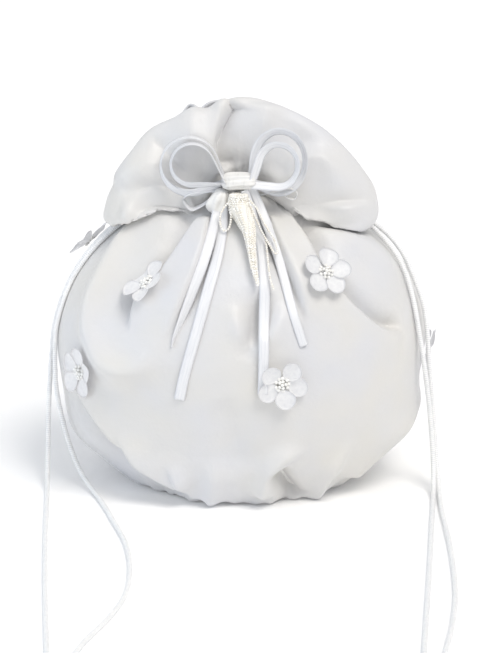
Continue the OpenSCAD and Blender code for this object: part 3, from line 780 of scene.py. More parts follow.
def keep_clear(flat, nrm, lift):
    """The cloth stays behind the cords, the tassel and whatever else lies on it."""
    lines = [(CORD_LINES[k], CORD_D / 2) for k in CORD_LINES]
    lines += [(catmull(TASSEL_LINE[:5, :3], 4), 5.2), (catmull(TASSEL_LINE[4:, :3], 4), 2.6)]
    for line, radius in lines:
        shy = radius + 0.8  # beside this distance the cloth may rise again
        lo, hi = line.min(0) - 12, line.max(0) + 12
        m = np.all((flat > lo) & (flat < hi), axis=1)
        gap, _, _, near = line_field(flat[m], line)
        ahead = np.sum((near - flat[m]) * nrm[m], axis=1)
        room = np.sqrt(np.clip(gap**2 - ahead**2, 0, None))
        limit = np.where(room < shy, ahead - radius - 0.15, ahead - radius + (room - shy) * 1.6)
        limit = np.where((ahead < -1) | (room > 14), 99, limit)
        lift[m] = np.minimum(lift[m], np.maximum(limit, -4))
    return lift


# The tassel's middle line, with its radius at each place
TASSEL_LINE = np.array(
    [
        (-1.2, -38.5, 153.6, 6.2), (-0.4, -39.8, 152.4, 6.3), (0.8, -41.8, 150.8, 6), (2.2, -46, 147.9, 5.2),
        (4, -50.4, 143.5, 4.1), (4.9, -55.5, 138, 3.1), (5.7, -60, 132.4, 2.4), (6.9, -65, 125.6, 2.0),
        (8.4, -67.4, 120.4, 1.3),
    ]
)


def blur_rows(a, times=1):
    """Smooths a closed ring of columns with its neighbours."""
    for _ in range(times):
        up, down = np.vstack([a[:1], a[:-1]]), np.vstack([a[1:], a[-1:]])
        a = (a * 2 + up + down + np.roll(a, 1, 1) + np.roll(a, -1, 1)) / 6
    return a


def make_body():
    plain, normals, lift, girth = body_surface()
    lift = keep_clear(plain.reshape(-1, 3), normals.reshape(-1, 3), lift.ravel()).reshape(lift.shape)
    lift = blur_rows(lift, 2)
    pts = plain + normals * lift[..., None]
    z = pts[..., 2]
    pts[..., 2] = np.where(z < 1.5, 0.35 + 1.15 * np.exp((z - 1.5) / 1.5), z)
    # the hem stays outside the stiff board
    r = np.hypot(pts[..., 0], pts[..., 1])
    inside = (pts[..., 2] < 5) & (r < BASE_R - 2)
    pts[..., :2] *= np.where(inside, (BASE_R - 2) / np.maximum(r, 1), 1)[..., None]
    # the hem turns under to the seam with the base
    hem = []
    for r, dz in ((BASE_R - 6, 0.5), (BASE_R - 3, 0.35)):
        ring = pts[0].copy()
        scale = r / np.hypot(ring[:, 0], ring[:, 1])
        ring[:, :2] *= scale[:, None]
        ring[:, 2] = dz
        hem.append(ring)
    pts = np.concatenate([np.array(hem), pts])
    rows = len(pts)
    step = girth / (BODY_ROWS - 1)
    half = BODY_COLS // 2
    columns = {"back": np.arange(0, half + 1), "front": np.arange(half, BODY_COLS + 1) % BODY_COLS}
    belly = math.pi * (BELLY_RX + BELLY_RY) / BODY_COLS
    made = {}
    for side, cols in columns.items():
        grid = pts[:, cols]
        cloth = np.zeros(grid.shape)
        cloth[..., 0] = np.arange(len(cols)) * belly
        cloth[..., 1] = (np.arange(rows) * step)[:, None]
        data = {"cloth": cloth.reshape(-1, 3)}
        o = mesh_piece(f"{side}_panel", grid.reshape(-1, 3), grid_faces(rows, len(cols)), SATIN, data)
        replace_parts(o, f"outer_{side}_panel")
        made[side] = o
    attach(made["front"], "root")
    return made, pts


BODY, BODY_POINTS = make_body()
BODY_TREE = BVHTree.FromPolygons(
    BODY_POINTS.reshape(-1, 3).tolist(),
    grid_faces(BODY_POINTS.shape[0], BODY_POINTS.shape[1], wrap=True),
)


def cloth_front(x, z):
    """The place on the front of the bag's cloth at x and z, and the way out of it."""
    hit = BODY_TREE.ray_cast(Vector((x, -200, z)), Vector((0, 1, 0)))
    if hit[0] is None:
        return np.array([x, float(front_y(x, min(z, NECK_Z))), z]), np.array([0, -1.0, 0])
    return np.array(hit[0]), np.array(hit[1])


def make_lining():
    """The lining hangs inside the satin and follows its larger folds."""
    pts = BODY_POINTS[4::3, ::3]
    out = grid_normals(pts, wrap=True)
    inner = pts - out * 2.6
    for _ in range(6):
        inner = np.stack([blur_rows(inner[..., k]) for k in range(3)], axis=2)
    r = np.hypot(inner[..., 0], inner[..., 1])
    keep = np.minimum(1, np.hypot(pts[..., 0], pts[..., 1]) * 0.985 / np.maximum(r, 1e-6))
    inner[..., :2] *= keep[..., None]
    inner[..., 2] = np.maximum(inner[..., 2], 4)
    rows, cols = inner.shape[:2]
    cloth = np.zeros(inner.shape)
    cloth[..., 0] = np.arange(cols) * 3.3
    cloth[..., 1] = (np.arange(rows) * 3.3)[:, None]
    faces, data = grid_faces(rows, cols, wrap=True, flip=True), {"cloth": cloth.reshape(-1, 3)}
    o = mesh_piece("lining", inner.reshape(-1, 3), faces, LINING, data)
    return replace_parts(o, "lining_wall")


LINING_PIECE = make_lining()


def disc_piece(name, radius, z, thick, material, wave):
    """A cloth-covered disc with a soft edge and slight puckers near its seam."""
    rings, cols = 14, 120
    r = radius * np.sqrt(np.linspace(0.02, 1, rings))
    phi = np.linspace(0, 2 * np.pi, cols, endpoint=False)
    rr, pp = np.meshgrid(r, phi, indexing="ij")
    pucker = wave * np.sin(pp * 31 + 2 * np.sin(pp * 3)) * smoothstep(rr / radius, 0.7, 1)
    half = thick / 2 * np.sqrt(np.clip(1 - (rr / radius) ** 14, 0, 1))
    top = np.stack([rr * np.cos(pp), rr * np.sin(pp), z + half + pucker], axis=2)
    low = np.stack([rr * np.cos(pp), rr * np.sin(pp), z - half + pucker], axis=2)
    faces = grid_faces(rings, cols, wrap=True) + grid_faces(rings, cols, True, True, rings * cols)
    n = rings * cols
    faces = [f[::-1] for f in faces]
    faces.append(tuple(range(cols)))
    faces.append(tuple(n + k for k in range(cols))[::-1])
    faces += rim_faces((rings - 1) * cols, cols, n)
    points = np.concatenate([top.reshape(-1, 3), low.reshape(-1, 3)])
    return mesh_piece(name, points, faces, material, {"cloth": points * [1, 1, 0]})


def make_base():
    for name, node, material, slot_name, wave in (
        ("base_satin", "base_cover", SATIN_BASE, "satin", 0.12),
        ("lining_floor", "lining_base", LINING, "lining", 0.05),
    ):
        lo, hi = box_mm(node)
        o = disc_piece(name, hi[0], (lo[2] + hi[2]) / 2, hi[2] - lo[2] - 2 * wave, material, wave)
        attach(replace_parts(o, node), "root")
    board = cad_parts["base_stiffener"]
    board.data.materials.clear()
    board.data.materials.append(BOARD)


make_base()


# ---------------------------------------------------------------- neck
def half_ring(grid, back):
    """Columns of a full ring that lie on one side of the side seams."""
    cols = grid.shape[1]
    half = cols // 2
    pick = np.arange(0, half + 1) if back else np.arange(half, cols + 1) % cols
    return grid[:, pick]


def make_casing():
    """The gathered channel round the neck: pleated cloth with two rows of stitching."""
    cols = 300
    lo, hi = CASING_LO[2], CASING_HI[2]
    inside = 12.6
    section = catmull(
        [
            (inside + 2, lo - 0.6), (NECK_R - 2.6, lo - 0.8), (NECK_R - 0.4, lo + 0.4), (NECK_R + 0.2, lo + 3),
            (NECK_R - 1.1, (lo + hi) / 2), (NECK_R, hi - 3), (NECK_R - 0.8, hi - 0.6),
            (NECK_R - 3, hi + 0.5),
            (18, hi + 0.8), (inside + 1.2, hi), (inside, hi - 3), (inside, lo + 3), (inside + 2, lo - 0.6),
        ],
        4,
    )
    phi = np.linspace(0, 2 * np.pi, cols, endpoint=False)
    rng = np.random.default_rng(5)
    wave = np.zeros(cols)
    for a in (np.arange(34) + rng.uniform(-0.3, 0.3, 34)) * 2 * np.pi / 34:
        off = np.angle(np.exp(1j * (phi - a))) * NECK_R
        wave += rng.uniform(0.6, 1.3) * np.exp(-np.abs(off / rng.uniform(1.1, 1.7)) ** 1.5)
    wave -= wave.mean()
    r = section[:, 0][:, None] + wave * np.clip((section[:, 0][:, None] - 12) / 12, 0.25, 1)
    grid = np.stack([r * np.cos(phi), r * np.sin(phi), section[:, 1][:, None] + 0 * phi], axis=2)
    arc = arc_along(section)
    for back in (False, True):
        part = half_ring(grid, back)
        rows, n = part.shape[:2]
        cloth = np.zeros(part.shape)
        cloth[..., 0] = np.arange(n) * 1.3
        cloth[..., 1] = arc[:, None]
        side = "back" if back else "front"
        o = mesh_piece(
            f"neck_casing_{side}", part.reshape(-1, 3), grid_faces(rows, n), SATIN_HEADER,
            {"cloth": cloth.reshape(-1, 3)},
        )
        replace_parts(o, f"casing_{side}")
        if back:
            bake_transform(o)
        else:
            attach(o, "root")


make_casing()


def make_rings():
    """The drawcords' hidden runs inside the casing."""
    for level in ("lower", "upper"):
        lo, hi = box_mm(f"drawcord_{level}_front")
        z, radius = (lo[2] + hi[2]) / 2, hi[0] - CORD_D / 2
        for side in ("front", "back"):
            sign = -1 if side == "front" else 1
            phi = np.linspace(0.01, np.pi - 0.01, 60)
            path = np.stack([radius * np.cos(phi), sign * radius * np.sin(phi), 0 * phi + z], axis=1)
            o = tube_piece(f"casing_cord_{level}_{side}", path, np.full(60, CORD_D / 2), 12, CORD)
            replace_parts(o, f"drawcord_{level}_{side}")
            if side == "back":
                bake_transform(o)
            else:
                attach(o, "root")


make_rings()


# ---------------------------------------------------------------- header
ROOT_R, ROOT_Z = 16.0, CASING_HI[2] + 0.6
# Stations round each header layer from the right ear to the left, as (degrees, x, y, z): its
# free edge
RIM = {
    "front": [
        (0, 61, -2.5, 139), (12, 69, -9, 139.5), (22, 70, -12, 147), (38, 64, -13, 163),
        (54, 50, -14, 181), (70, 29, -14, 196), (88, 4, -14, 203.5), (97, -6, -14, 202.5),
        (106, -14, -13, 197.5), (118, -29, -14, 194.5), (134, -47, -14, 187), (150, -60, -13, 168),
        (163, -69, -11, 148), (173, -69, -8, 138.5), (180, -61, -2.5, 136),
    ],
    "back": [
        (0, 61, 2.5, 138), (12, 68, 8, 137), (22, 68, 11, 143), (38, 61, 13, 156), (54, 48, 14, 172),
        (70, 29, 14, 184), (88, 6, 14, 191), (100, -9, 12, 195.5), (112, -22, 11, 194.5),
        (122, -31, 13, 186), (134, -42, 14, 176), (150, -56, 13, 157), (163, -65, 11, 143),
        (173, -66, 8, 137), (180, -61, 2.5, 136),
    ],
}
# and two places that it is drawn towards between its root and that edge: the first makes it
# droop over the casing on to the shoulder, the second makes it billow
DROOP = {
    "front": [
        (0, 30, -4, 158), (15, 34, -24, 140), (40, 29, -39, 129), (60, 18, -36, 143), (75, 8, -29, 163),
        (90, -2, -25, 168), (105, -10, -29, 162), (120, -19, -36, 142), (140, -30, -40, 127),
        (165, -35, -24, 139), (180, -30, -4, 157),
    ],
    "back": [
        (0, 30, 4, 158), (15, 34, 24, 144), (40, 29, 36, 138), (60, 18, 32, 150), (75, 8, 27, 160),
        (90, -2, 24, 165), (105, -10, 27, 160), (120, -19, 32, 150), (140, -30, 36, 138),
        (165, -35, 24, 144), (180, -30, 4, 157),
    ],
}
BILLOW = {
    "front": [
        (0, 50, -3, 147), (15, 60, -44, 128), (30, 62, -40, 142), (45, 52, -38, 164),
        (60, 35, -33, 182), (75, 18, -28, 194), (90, 2, -25, 197), (105, -11, -27, 196),
        (120, -27, -32, 189), (135, -46, -36, 172), (150, -61, -41, 149), (165, -61, -47, 128),
        (180, -50, -3, 146),
    ],
    "back": [
        (0, 50, 3, 147), (15, 58, 38, 130), (30, 60, 36, 142), (45, 50, 34, 160), (60, 34, 30, 174),
        (75, 18, 26, 184), (90, 2, 24, 187), (105, -11, 26, 188), (120, -27, 30, 182),
        (135, -45, 34, 166), (150, -59, 37, 147), (165, -59, 40, 130), (180, -50, 3, 146),
    ],
}
# Folds of the header, as x and height where they show from the front
HEADER_FOLDS = {
    "front": [
        ([(-9, 166), (-13, 176), (-12, 186), (-6, 203)], (-6.5, 7), (2.4, 10), (0.12, 0.0)),
        ([(-24, 163), (-34, 171), (-42, 179), (-49, 187)], (-4.6, 6.5), (-2.6, 8), (0.2, 0.35)),
        ([(-16, 160), (-23, 176), (-26, 188), (-24, 200)], (3.6, 7), (3.2, 7), (0.3, 0.1)),
        ([(-18, 153), (-32, 156), (-48, 158), (-60, 153)], (-6.6, 4.5), (-3.6, 8), (0.15, 0.3)),
        ([(-22, 149), (-38, 146), (-52, 143), (-62, 146)], (4.8, 7), (4.8, 6), (0.2, 0.25)),
        ([(-40, 170), (-54, 166), (-62, 158)], (3.4, 9), (3.0, 8), (0.3, 0.3)),
        ([(24, 145), (38, 147), (52, 149), (68, 151)], (3.0, 10), (-4.6, 6), (0.2, 0.4)),
        ([(24, 158), (36, 168), (47, 178)], (3.4, 12), (3.4, 12), (0.35, 0.4)),
        ([(17, 163), (27, 176), (36, 188)], (-3.4, 8), (-3.0, 8), (0.25, 0.35)),
        ([(8, 168), (10, 184), (12, 202)], (2.4, 7), (2.0, 8), (0.3, 0.1)),
    ],
    "back": [
        ([(10, 166), (12, 180), (12, 204)], (-6.5, 7), (2.4, 9), (0.12, 0.0)),
        ([(-16, 163), (-22, 180), (-24, 204)], (2.8, 8), (-4.0, 6), (0.2, 0.0)),
        ([(24, 160), (34, 174), (42, 190)], (2.6, 7), (-3.4, 7), (0.2, 0.1)),
        ([(-24, 155), (-42, 158), (-60, 156)], (-4.6, 6), (2.4, 7), (0.15, 0.3)),
        ([(24, 154), (42, 157), (62, 158)], (2.4, 7), (-4.2, 6), (0.15, 0.3)),
        ([(-30, 168), (-42, 180), (-48, 190)], (2.4, 7), (2.4, 7), (0.25, 0.1)),
    ],
}


def height_map():
    """The bag's top as a height for each 2 mm square, with the cords on it."""
    size, cell = 120, 2.0
    h = np.zeros((size, size))
    cloth = BODY_POINTS.reshape(-1, 3)
    pts = [cloth[cloth[:, 2] > BELLY_Z]]
    for line in CORD_LINES.values():
        dense = catmull(line, 6)
        pts.append(dense[(dense[:, 2] > BELLY_Z)] + [0, 0, CORD_D / 2])
    for p in pts:
        i = np.clip(((p[:, 0] / cell) + size / 2).astype(int), 0, size - 1)
        j = np.clip(((p[:, 1] / cell) + size / 2).astype(int), 0, size - 1)
        np.maximum.at(h, (i, j), p[:, 2])
    for _ in range(2):
        near = h.copy()
        for di in (-1, 0, 1):
            for dj in (-1, 0, 1):
                near = np.maximum(near, np.roll(np.roll(h, di, 0), dj, 1) - 0.4 * (abs(di) + abs(dj)))
        h = near
    return h, size, cell


HEIGHTS = height_map()


def top_at(x, y):
    h, size, cell = HEIGHTS
    i = np.clip(((x / cell) + size / 2).astype(int), 0, size - 1)
    j = np.clip(((y / cell) + size / 2).astype(int), 0, size - 1)
    return h[i, j]


def header_surface(side, rows=70, cols=260):
    sign = -1.0 if side == "front" else 1.0
    t = np.linspace(0, 180, cols)
    s = np.linspace(0, 1, rows) ** 0.95
    a = np.radians(t)
    depth = sign * (ROOT_R * np.sin(a) + 0.3)
    root = np.stack([ROOT_R * np.cos(a), depth, np.full(cols, ROOT_Z)], axis=1)
    droop, billow, rim = (
        spline_at([row[0] for row in stations[side]], [row[1:] for row in stations[side]], t)
        for stations in (DROOP, BILLOW, RIM)
    )
    s = s[:, None, None]
    grid = (1 - s) ** 3 * root + 3 * s * (1 - s) ** 2 * droop + 3 * s * s * (1 - s) * billow + s**3 * rim
    n = grid_normals(grid)
    if side == "back":
        n = -n
    n = -n if np.mean(n[..., 1]) * sign < 0 else n
    flat, nrm = grid.reshape(-1, 3), n.reshape(-1, 3)
    # each point's height as it shows from the camera's angle, which is how the folds are drawn
    shown = flat[:, 2] + math.tan(math.radians(CAMERA_RISE)) * (20 - np.abs(flat[:, 1]))
    seen = np.stack([flat[:, 0], 0 * flat[:, 0], shown], axis=1)
    facing = np.tile([0.0, -1.0, 0.0], (len(seen), 1))
    if side == "back":
        seen[:, 0] *= -1
    lift = np.zeros(len(flat))
    for line, left, right, taper in HEADER_FOLDS[side]:
        line = catmull(line, 5)
        if side == "back":
            line = line * [-1, 1]
        route = np.stack([line[:, 0], 0 * line[:, 0], line[:, 1]], axis=1)
        lift += fold(seen, facing, route, left, right, taper)
    along = np.repeat(s[:, 0, 0], cols)
    around = np.tile(a, rows)
    rng = np.random.default_rng(21 if side == "front" else 22)
    pleats = np.zeros(len(flat))
    for k in range(20):
        at = (k + rng.uniform(0.2, 0.8)) * np.pi / 20
        w, h, reach = rng.uniform(0.045, 0.08), rng.uniform(0.9, 2.2), rng.uniform(0.15, 0.4)
        pleats += h * np.exp(-np.abs((around - at) / w) ** 1.6) * np.exp(-((along / reach) ** 1.6))
    lift += pleats - 0.9 * np.exp(-((along / 0.25) ** 2))
    lift += 1.3 * noise_at(flat, 30, 4 if side == "front" else 5) * smoothstep(along, 0.1, 0.5)
    lift += 0.3 * noise_at(flat, 10, 6)
    lift *= smoothstep(along, 0.0, 0.12) * 0.85 + 0.15
    lift *= smoothstep(around, 0.0, 0.12) * smoothstep(np.pi - around, 0.0, 0.12)
    out = flat + nrm * lift[:, None]
    # the bow lies in front, and the bag's shoulder and cords below
    near_bow = smoothstep(62 - np.abs(out[:, 0] + 3), 0, 20) * smoothstep(out[:, 2], 138, 150)
    if side == "front":
        behind = np.maximum(out[:, 1], -27.5 + 0.08 * (out[:, 1] + 27.5))
        out[:, 1] += (behind - out[:, 1]) * near_bow
        out[:, 1] = np.minimum(out[:, 1], -0.6)
    else:
        out[:, 1] = np.maximum(out[:, 1], 0.6)
    floor = top_at(out[:, 0], out[:, 1]) + 1.4
    out[:, 2] = np.where(along > 0.25, np.maximum(out[:, 2], floor), out[:, 2])
    grid = out.reshape(grid.shape)
    for _ in range(2):
        beside = grid[:-2, 1:-1] + grid[2:, 1:-1] + grid[1:-1, :-2] + grid[1:-1, 2:]
        grid[1:-1, 1:-1] = (2 * grid[1:-1, 1:-1] + beside) / 6
    return grid


def make_header(side):
    grid = header_surface(side)
    rows, cols = grid.shape[:2]
    n = grid_normals(grid)
    sign = -1.0 if side == "front" else 1.0
    if np.mean(n[..., 1]) * sign < 0:
        n = -n
    s = np.linspace(0, 1, rows)
    # two layers of cloth, with a soft roll where they turn over at the rim
    thick = 0.55 + 0.95 * smoothstep(s, 0.78, 0.93)
    thick *= np.sqrt(np.clip(1 - smoothstep(s, 0.93, 1.0) ** 2 * 0.985, 0, 1))
    outer = grid + n * thick[:, None, None]
    inner = grid - n * thick[:, None, None]
    if side == "front":
        inner[..., 1] = np.minimum(inner[..., 1], -0.25)
    else:
        inner[..., 1] = np.maximum(inner[..., 1], 0.25)
    cloth = np.zeros(grid.shape)
    cloth[..., 0] = np.arange(cols) * 1.05
    cloth[..., 1] = (s * 58)[:, None]
    faces = shell_faces(rows, cols)
    if side == "front":
        faces = [f[::-1] for f in faces]
    both = np.concatenate([cloth.reshape(-1, 3), cloth.reshape(-1, 3)])
    points = np.concatenate([outer.reshape(-1, 3), inner.reshape(-1, 3)])
    o = mesh_piece(f"header_{side}", points, faces, SATIN_HEADER, {"cloth": both})
    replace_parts(o, f"frill_{side}")
    if side == "front":
        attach(o, "root")
    else:
        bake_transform(o)
    return o


HEADER = {side: make_header(side) for side in ("front", "back")}


# ---------------------------------------------------------------- bow
def loop_path(centre, radius, tip, y, lean, oval, count=70):
    """A teardrop loop from the wrap round a centre and back, in front of the header."""
    centre, tip = np.array(centre, float), np.array(tip, float)
    out = tip - centre
    spread = math.acos(min(1, radius / np.linalg.norm(out)))
    aim = math.atan2(out[1], out[0])
    a = np.linspace(aim + spread, aim + 2 * np.pi - spread, count)
    ring = centre + radius * np.stack([np.cos(a) * oval, np.sin(a) / oval], axis=1)
    flat = np.concatenate([np.linspace(tip, ring[0], 12)[:-1], ring, np.linspace(ring[-1], tip, 12)[1:]])
    flat = resample(flat, count)
    for _ in range(3):
        flat[1:-1] = (flat[:-2] + 2 * flat[1:-1] + flat[2:]) / 4
    u = np.linspace(0, 1, count)
    depth = y + lean * np.sin(np.pi * u)
    return np.stack([flat[:, 0], depth, flat[:, 1]], axis=1), centre, u


def bow_loop(name, centre, radius, tip, y, lean, twist, oval=1.0):
    """twist gives how far, in degrees, the ribbon turns its face to the front along the loop."""
    path, centre, u = loop_path(centre, radius, tip, y, lean, oval)
    outward = unit(np.stack([path[:, 0] - centre[0], 0 * u, path[:, 2] - centre[1]], axis=1))
    angle = np.radians(np.interp(u, np.linspace(0, 1, len(twist)), twist))
    across = np.array([0, 1.0, 0]) * np.cos(angle)[:, None] + outward * np.sin(angle)[:, None]
    o = ribbon_piece(f"ribbon_{name}", path, across, 4.8, 0.32, RIBBON, cup=0.12)
    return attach(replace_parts(o, name), "root")


def ribbon_lump(name, grid, node=None):
    """Folded ribbon as a closed lump of rings, each ring at one place along it."""
    rows, cols = grid.shape[:2]
    points = np.concatenate([grid.reshape(-1, 3), grid[[0, -1]].mean(1)])
    n = rows * cols
    faces = grid_faces(rows, cols, wrap=True) + [(b, a, c) for a, b, c in end_caps(rows, cols, n, n + 1)]
    away = points[faces[0][0]] - grid.reshape(-1, 3).mean(0)
    if np.sum(away * grid_normals(grid, wrap=True)[0, 0]) < 0:
        faces = [f[::-1] for f in faces]
    turn = np.linspace(0, 2 * np.pi, cols, endpoint=False)
    across = np.repeat(np.linspace(-0.9, 0.9, rows), cols)
    data = np.stack([np.tile(turn * 5.2, rows), across, np.full(n, 14.0)], axis=1)
    data = np.concatenate([data, [[0, 0, 14], [0, 0, 14]]])
    o = mesh_piece(name, points, faces, WRAP_RIBBON, {"ribbon": data})
    if node:
        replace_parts(o, node)
    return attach(o, "root")


def spare_ribbon(name, path, across, width, thick, material, cup=0.1):
    """A short piece of the bow's ribbon whose width points one way all along."""
    o = ribbon_piece(name, path, np.tile(across, (len(path), 1)), width, thick, material, cup)
    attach(o, "root")


def make_bow():
    z0, y0 = 165.0, -34.0
    left, right = (WRAP_LO[0] + 1.5, z0 - 0.5), (WRAP_HI[0] - 1.5, z0 - 1)
    bow_loop("bow_loop_left_outer", (-26, 173.2), 14.6, left, -31.8, -0.4,
             [12, 4, 0, 2, 4, 12, 40, 66, 72, 60])
    bow_loop("bow_loop_left_inner", (-24.6, 174.8), 10.8, left, -36.0, -0.6,
             [10, 5, 2, 4, 6, 14, 34, 50, 50, 40])
    bow_loop("bow_loop_right_outer", (19.6, 175), 14.4, right, -31.8, -0.4,
             [-70, -62, -44, -30, -36, -52, -62, -72, -78, -70], 0.9)
    bow_loop("bow_loop_right_inner", (18.8, 174), 10.4, right, -36.0, -0.6,
             [-64, -52, -36, -28, -34, -48, -58, -66, -70, -60], 0.94)
    # the wrap: ribbon folded small round the middle, and the puff it makes below its left end
    lo, hi = WRAP_LO[0], WRAP_HI[0]
    phi = np.linspace(0, 2 * np.pi, 90, endpoint=False)
    u = np.linspace(-1, 1, 34)
    uu, pp = np.meshgrid(u, phi, indexing="ij")
    ridges = 0.34 * np.sin(6 * pp + 1.1 * np.sin(uu * 2 + 1)) + 0.2 * np.sin(11 * pp + 2.0 * uu + 0.7)
    round_off = np.sqrt(np.clip(1 - 0.86 * np.abs(uu) ** 5, 0, 1))
    r = (4.2 + ridges) * round_off
    xx = (lo + hi) / 2 + uu * ((hi - lo) / 2 + 0.8)
    wrap_grid = np.stack([xx, y0 + r * np.cos(pp), z0 + 0.4 * (1 - uu**2) + r * np.sin(pp)], axis=2)
    ribbon_lump("ribbon_bow_wrap", wrap_grid, "bow_wrap")
    swirl = 0.5 * np.sin(3 * pp + 2.4 * uu + 0.6) + 0.35 * np.sin(7 * pp - 1.5 * uu + 1)
    r = (5.3 + swirl) * np.sqrt(np.clip(1 - np.abs(uu) ** 3, 0.004, 1)) * (1 - 0.16 * uu)
    axis = np.array([0.42, -0.10, 0.90])
    side, ahead = np.array([0.90, 0, -0.42]), np.array([0.0, -1.0, -0.12])
    middle = np.array([-11.2, -32.8, 154.4])
    ring = np.cos(pp)[..., None] * side + np.sin(pp)[..., None] * ahead
    ribbon_lump("bow_puff", middle + 7.0 * uu[..., None] * axis + r[..., None] * ring)
    # the tab that stitches the wrap to the casing
    path = catmull([(0, -22.5, 156), (0, -25, 158), (0, -28, 160.5), (0, -30.5, 163)], 5)
    spare_ribbon("bow_tab", path, [1.0, 0, 0], 6.0, 0.5, WRAP_RIBBON, 0.0)
    # a short fold of spare ribbon on each side, caught under the wrap
    path = catmull([(-9, -31, 160), (-17, -31.5, 159.5), (-25, -31.5, 158.5), (-29, -31.5, 155.5),
                    (-25.5, -32, 150.5), (-21, -31.5, 151.5), (-14, -30.5, 156), (-9, -30, 158.5)], 6)
    spare_ribbon("bow_fold_left", path, [0.15, 1.0, 0.35], 3.6, 0.3, RIBBON)
    path = catmull([(5, -31, 156.5), (12, -32, 158.3), (19, -32.5, 160), (25, -32.5, 161.2),
                    (28.5, -32.5, 159), (27, -32.5, 155.6), (23.5, -32.5, 156.4), (22, -32.5, 158.6)], 6)
    spare_ribbon("bow_fold_right", path, [0.0, 1.0, 0.25], 2.0, 0.5, WRAP_RIBBON)


make_bow()

# Ribbon tails as (x, z, width, turn): turn is how far the ribbon twists edge on, in degrees
TAILS = {
    "left_short": [(-12, 152, 4.2, 20), (-12.6, 148, 4.8, 14), (-14.5, 142, 5.4, 8), (-18, 132, 5.6, 8),
                   (-23, 119, 5.4, 14), (-29, 104, 4.6, 32), (-33, 95, 3.2, 55), (-34.6, 89.5, 1.4, 70)],
    "left_long": [(-9, 153, 4.4, -10), (-9, 148, 5.0, -8), (-9.6, 142, 5.5, -8), (-12, 131, 5.8, -8),
                  (-17, 115, 5.8, -6), (-23, 95, 5.6, -5), (-28, 77, 5.5, -4), (-31, 62, 5.5, -4)],
    "right_long": [(2, 161, 4.4, 12), (4.5, 153, 4.8, 10), (8.5, 143, 5.2, 8), (11, 133, 5.2, 6),
                   (12, 118, 5.4, 4), (11.6, 100, 5.4, 3), (11.5, 84, 5.2, 3), (11, 67, 5.2, 2)],
    "right_short": [(5.5, 162, 4.4, 14), (9.4, 153, 4.8, 12), (14.5, 142, 5.2, 10), (18.5, 132, 5, 8),
                    (22.5, 119, 4.8, 8), (27, 104, 4.6, 4), (31.7, 90, 4.4, 0)],
}


def tail_line(stations):
    """Where a tail hangs: over the cloth's folds without dipping into each one."""
    dense = catmull(stations, 10)
    xs, zs = dense[:, 0], np.minimum(dense[:, 1], 145.0)
    places = []
    for x, z, extra in zip(xs, zs, dense[:, 1] - zs):
        p, n = cloth_front(x, z)
        y = min(p[1], cloth_front(x - 2, z)[0][1], cloth_front(x + 2, z)[0][1])
        places.append((x, y + 0.12 * extra, z + extra))
    p = np.array(places)
    y = p[:, 1].copy()
    for _ in range(30):
        y[1:-1] = np.minimum(p[1:-1, 1], (y[:-2] + y[2:]) / 2)
    return np.stack([xs, y, p[:, 2]], axis=1), dense


def make_tails():
    for name, stations in TAILS.items():
        path, dense = tail_line(stations)
        if name == "right_long":
            path[:, 1] -= 2.2 * smoothstep(100 - path[:, 2], 0, 16)
        out = np.stack([0 * path[:, 0], np.full(len(path), -1.0), np.full(len(path), 0.25)], axis=1)
        path = path + unit(out) * 0.7
        turn = np.radians(dense[:, 3])
        across = np.stack([np.cos(turn), np.sin(turn), 0 * turn], axis=1)
        o = ribbon_piece(f"bow_tail_{name}", path, across, dense[:, 2], 0.3, RIBBON, cup=0.25)
        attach(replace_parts(o, f"ribbon_tail_{name}"), "root")


make_tails()


# ---------------------------------------------------------------- tassel
LEFT_LOOP = [
    (-5.8, -40.5, 156.2), (-8.7, -41.5, 153.3), (-10.4, -42.5, 149.5), (-10.3, -44, 145.4),
    (-8.7, -46, 142.9), (-6.6, -46, 143.2), (-5.3, -44.5, 146), (-5.0, -42.5, 151),
]
RIGHT_LOOP = [
    (4.2, -40.8, 157.6), (8.2, -42.6, 153.2), (10.9, -44, 147.8), (13.9, -47, 143.2), (17, -51, 138.8),
    (18.5, -55, 134.2), (16.9, -55.6, 133.8), (13.9, -52.5, 138), (10.9, -48.5, 142.2), (8.8, -46, 146.2),
]


HANGING_STRAND = [
    (12.6, -50.5, 138.4), (13.3, -55.8, 133.5), (13.9, -60.8, 128), (14.8, -64.5, 122.7), (16.3, -67, 118.4),
]
SEED_R = 0.66


def string_beads(path, pitch):
    arc = np.linalg.norm(np.diff(path, axis=0), axis=1).sum()
    return resample(path, max(2, int(arc / pitch) + 1))


def bead_piece(name, node, centres, radius, material, body, squeeze=0.85):
    points, faces, tone = bead_mesh(centres, radius, squeeze)
    o = mesh_piece(name, points, faces, material, {"tone": tone})
    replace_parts(o, node)
    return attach(o, body)


def seed_beads(part, centres, radius):
    bead_piece(f"tassel_bead_{part}", f"tassel_{part}", centres, radius, SEED, "tassel")


